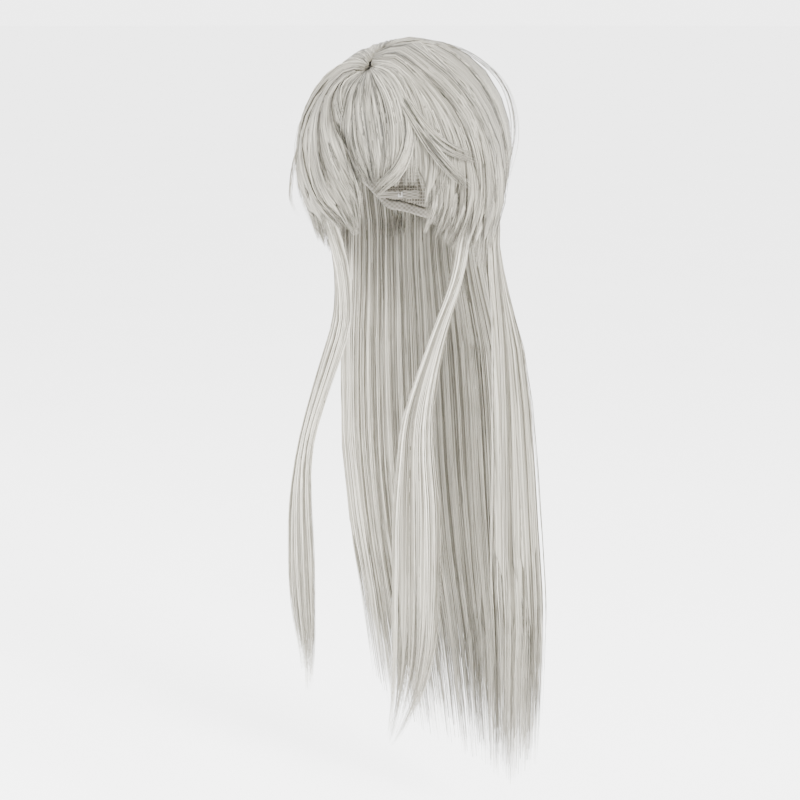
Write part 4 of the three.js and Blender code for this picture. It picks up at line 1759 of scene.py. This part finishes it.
    def disc(self) -> Loft:
        """The round crown net: rings round its middle, from one face over the rim to the other.

        Returns:
            The net as a loft of one path.
        """
        rings, corners = self.crown_rings
        turn = np.linspace(0, FULL_TURN, corners + 1)[:-1]
        out = np.linspace(0.4, self.crown_radius, rings)
        back = np.linspace(self.crown_radius, 0.4, rings)
        reach = np.concatenate([out, back])
        off = np.repeat([self.thin[1], self.thin[0]], rings)
        x = np.sin(turn)[None] * reach[:, None]
        y = -np.cos(turn)[None] * reach[:, None] + self.crown_centre
        points = HEAD.at(x, y, off[:, None])
        maps = np.stack([x, y], -1) * self.degree_length
        return Loft(points[None, :, ::-1], maps[None, :, ::-1])

    def pieces(self, wardrobe: Wardrobe) -> None:
        """Builds every piece of the cap and ties it to the head.

        Args:
            wardrobe: where the finishes come from.
        """
        foot, edge, thin = self.panel_foot, self.edge_at, self.thin
        net, rose = Trim.NET, Trim.ROSE_NET
        table: list[tuple[str, Loft, Trim, str]] = [
            ("cap_crown_net", self.disc(), rose, "net"),
            ("cap_front_panel", self.band((-51.5, 51.5), self.rim_at, foot, thin, (40, 12)), net, "net"),
            ("cap_left_panel", self.band((52.5, 117.5), self.rim_at, foot, thin, (26, 14)), net, "net"),
            ("cap_right_panel", self.band((-117.5, -52.5), self.rim_at, foot, thin, (26, 14)), net, "net"),
            ("cap_back_panel", self.band((118.5, 241.5), self.rim_at, 93.5, thin, (46, 16)), rose, "net"),
            ("cap_nape_panel", self.band((121.5, 238.5), 94.0, foot, thin, (46, 8)), net, "net"),
            (
                "edge_ribbon",
                self.band((-119.5, 119.5), self.ribbon_top, edge, self.ribbon_faces, (90, 4)),
                Trim.RIBBON,
                "ribbon",
            ),
            (
                "nape_elastic",
                self.band((120.5, 239.5), self.ribbon_top, edge, self.elastic_faces, (70, 4)),
                Trim.ELASTIC,
                "elastic",
            ),
        ]
        for number, far in enumerate((52, 72, 92), 1):
            loft = self.band((126, 234), far, far + 2.4, self.weft, (60, 2))
            table.append((f"weft_back_{number}", loft, Trim.WEFT, "weft_thread"))
        stay = (70.6, 73.4)
        for side, way in (("left", 1), ("right", -1)):
            for name, span, near, far, offs, size, trim, slot in (
                ("weft", (62, 116), 66, 68.4, self.weft, (34, 2), Trim.WEFT, "weft_thread"),
                ("ear_tab", (65, 79), self.tab_root, self.tab_tip, thin, (14, 8), net, "net"),
                ("ear_tab_stay", stay, self.stay_root, 97.0, self.stay_faces, (4, 10), Trim.STAY, "ribbon"),
            ):
                low, high = sorted(way * angle for angle in span)
                table.append((f"{name}_{side}", self.band((low, high), near, far, offs, size), trim, slot))
        for name, loft, trim, slot in table:
            sew_on(f"{name}_sewn", name, loft, wardrobe.trim(trim))
        self.skin_top(wardrobe)

    def skin_top(self, wardrobe: Wardrobe) -> None:
        """The film that shows at the whorl: a small sheet that follows the head.

        Args:
            wardrobe: where the finish comes from.
        """
        x = np.linspace(-23, -5, 19)[None] * np.ones((31, 1))
        y = np.linspace(-45, -14.5, 31)[:, None] * np.ones((1, 19))
        maps = np.stack([x, y], -1) * self.degree_length
        loft = slab(HEAD.at(x, y, self.weft[0]), HEAD.at(x, y, self.weft[1]), maps)
        sew_on("skin_top_film", "skin_top", loft, wardrobe.trim(Trim.SKIN))


@dataclass(frozen=True)
class Straps:
    """The two adjusting straps with their hooks and looped tapes, kept as the solids they are."""

    finishes: tuple[tuple[str, Trim], ...] = (
        ("strap", Trim.STAY), ("hook", Trim.HOOK), ("loop_tape", Trim.STAY),
    )

    def dress(self, nodes: Mapping[str, bpy.types.Object], wardrobe: Wardrobe) -> None:
        """Gives each solid a map along its length and its finish.

        Args:
            nodes: the solids by name.
            wardrobe: where the finishes come from.
        """
        for side in ("left", "right"):
            for name, trim in self.finishes:
                node = nodes[f"{name}_{side}"]
                mesh = node.data
                corners = np.zeros(len(mesh.loops), np.int32)
                mesh.loops.foreach_get("vertex_index", corners)
                places = np.zeros(len(mesh.vertices) * 3, np.float32)
                mesh.vertices.foreach_get("co", places)
                places = places.reshape(-1, 3)
                maps = np.stack([np.hypot(places[:, 0], places[:, 1]), places[:, 2]], -1)
                layer = mesh.uv_layers.new(name=THREAD_MAP)
                layer.data.foreach_set("uv", maps[corners].ravel())
                mesh.materials.clear()
                mesh.materials.append(wardrobe.trim(trim))
                LOG.info("%s: %d faces", node.name, len(mesh.polygons))


# ---------------------------------------------------------------- room


@dataclass(frozen=True)
class Lamp:
    """A soft square lamp that faces the middle of the wig. Metres and watts."""

    name: str
    place: Stop
    size: float
    power: float

    def hang(self) -> None:
        """Adds the lamp to the room."""
        data = bpy.data.lights.new(self.name, "AREA")
        data.size, data.energy = self.size, self.power
        lamp = bpy.data.objects.new(self.name, data)
        lamp.location = self.place
        away = Vector(self.place) - Vector((0, 0, -0.2))
        lamp.rotation_euler = away.to_track_quat("Z", "Y").to_euler()
        bpy.context.scene.collection.objects.link(lamp)


@dataclass(frozen=True)
class Studio:
    """A pale floor, soft lights all round and the camera.

    Attributes:
        azimuth: how far to the wearer's left the camera stands, in degrees.
        elevation: how far up it stands, in degrees.
        distance: how far from its target it stands.
        lens: its focal length, in millimetres.
        target: what it looks at.
        floor: the height of the floor.
        floor_radius: how far the floor reaches.
        floor_corners: how many corners its edge has.
        white: how strong the light from all round is.
        lamps: the lamps.
    """

    azimuth: float = 20.0
    elevation: float = 12.0
    distance: float = 2.1
    lens: float = 86.0
    target: Stop = (-0.005, -0.002, -0.252)
    floor: float = -0.80
    floor_radius: float = 60.0
    floor_corners: int = 64
    white: float = 4.3
    lamps: tuple[Lamp, ...] = (
        Lamp("key_lamp", (2.5, -1.5, 0.8), 0.8, 330.0),
        Lamp("fill_lamp", (-2.4, -1.1, 0.4), 1.6, 190.0),
        Lamp("top_lamp", (0.2, 0.9, 2.2), 1.4, 24.0),
    )

    def camera(self) -> None:
        """Places the camera on a sphere round its target, looking at it."""
        turn, up = np.radians(self.azimuth), np.radians(self.elevation)
        away = np.array([np.sin(turn) * np.cos(up), -np.cos(turn) * np.cos(up), np.sin(up)])
        data = bpy.data.cameras.new("studio_camera")
        data.lens = self.lens
        data.clip_end = 200
        eye = bpy.data.objects.new("studio_camera", data)
        eye.location = np.array(self.target) + away * self.distance
        eye.rotation_euler = Vector(away).to_track_quat("Z", "Y").to_euler()
        bpy.context.scene.collection.objects.link(eye)
        bpy.context.scene.camera = eye

    def build(self) -> None:
        """Makes the world, the floor, the lamps and the camera."""
        world = bpy.data.worlds.new("studio")
        world.use_nodes = True
        glow = world.node_tree.nodes["Background"]
        glow.inputs["Color"].default_value = (1.0, 1.0, 1.0, 1.0)
        glow.inputs["Strength"].default_value = self.white
        bpy.context.scene.world = world
        bench = Bench("studio_floor")
        grain = bench.noise(bench.object_place(), 3.0)
        bench.feed("Base Color", bench.blend(grain, (0.9, 0.9, 0.9), (0.94, 0.94, 0.94)))
        bench.set(Roughness=0.8)
        turn = np.linspace(0, FULL_TURN, self.floor_corners + 1)[:-1]
        x, y = self.floor_radius * np.cos(turn), self.floor_radius * np.sin(turn)
        ring = np.stack([x, y, np.full(self.floor_corners, self.floor)], -1)
        mesh = bpy.data.meshes.new("studio_floor")
        mesh.from_pydata(ring.tolist(), [], [list(range(self.floor_corners))])
        mesh.materials.append(bench.material)
        floor = bpy.data.objects.new("studio_floor", mesh)
        bpy.context.scene.collection.objects.link(floor)
        for lamp in self.lamps:
            lamp.hang()
        self.camera()


def main() -> None:
    """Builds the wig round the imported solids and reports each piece."""
    logging.basicConfig(level=logging.INFO, format="%(message)s")
    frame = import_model()
    Studio().build()
    wardrobe = Wardrobe()
    NetCap().pieces(wardrobe)
    Straps().dress(frame["nodes"], wardrobe)
    pieces = [
        *BackHair().pieces(),
        *SideLayers().pieces(),
        *CrownHair().pieces(),
        *(lock.piece() for lock in LONG_LOCKS),
        *Fringe().pieces(),
        *LooseStrands().pieces(),
    ]
    for piece in pieces:
        piece.make(wardrobe)


if __name__ == "__main__":
    main()
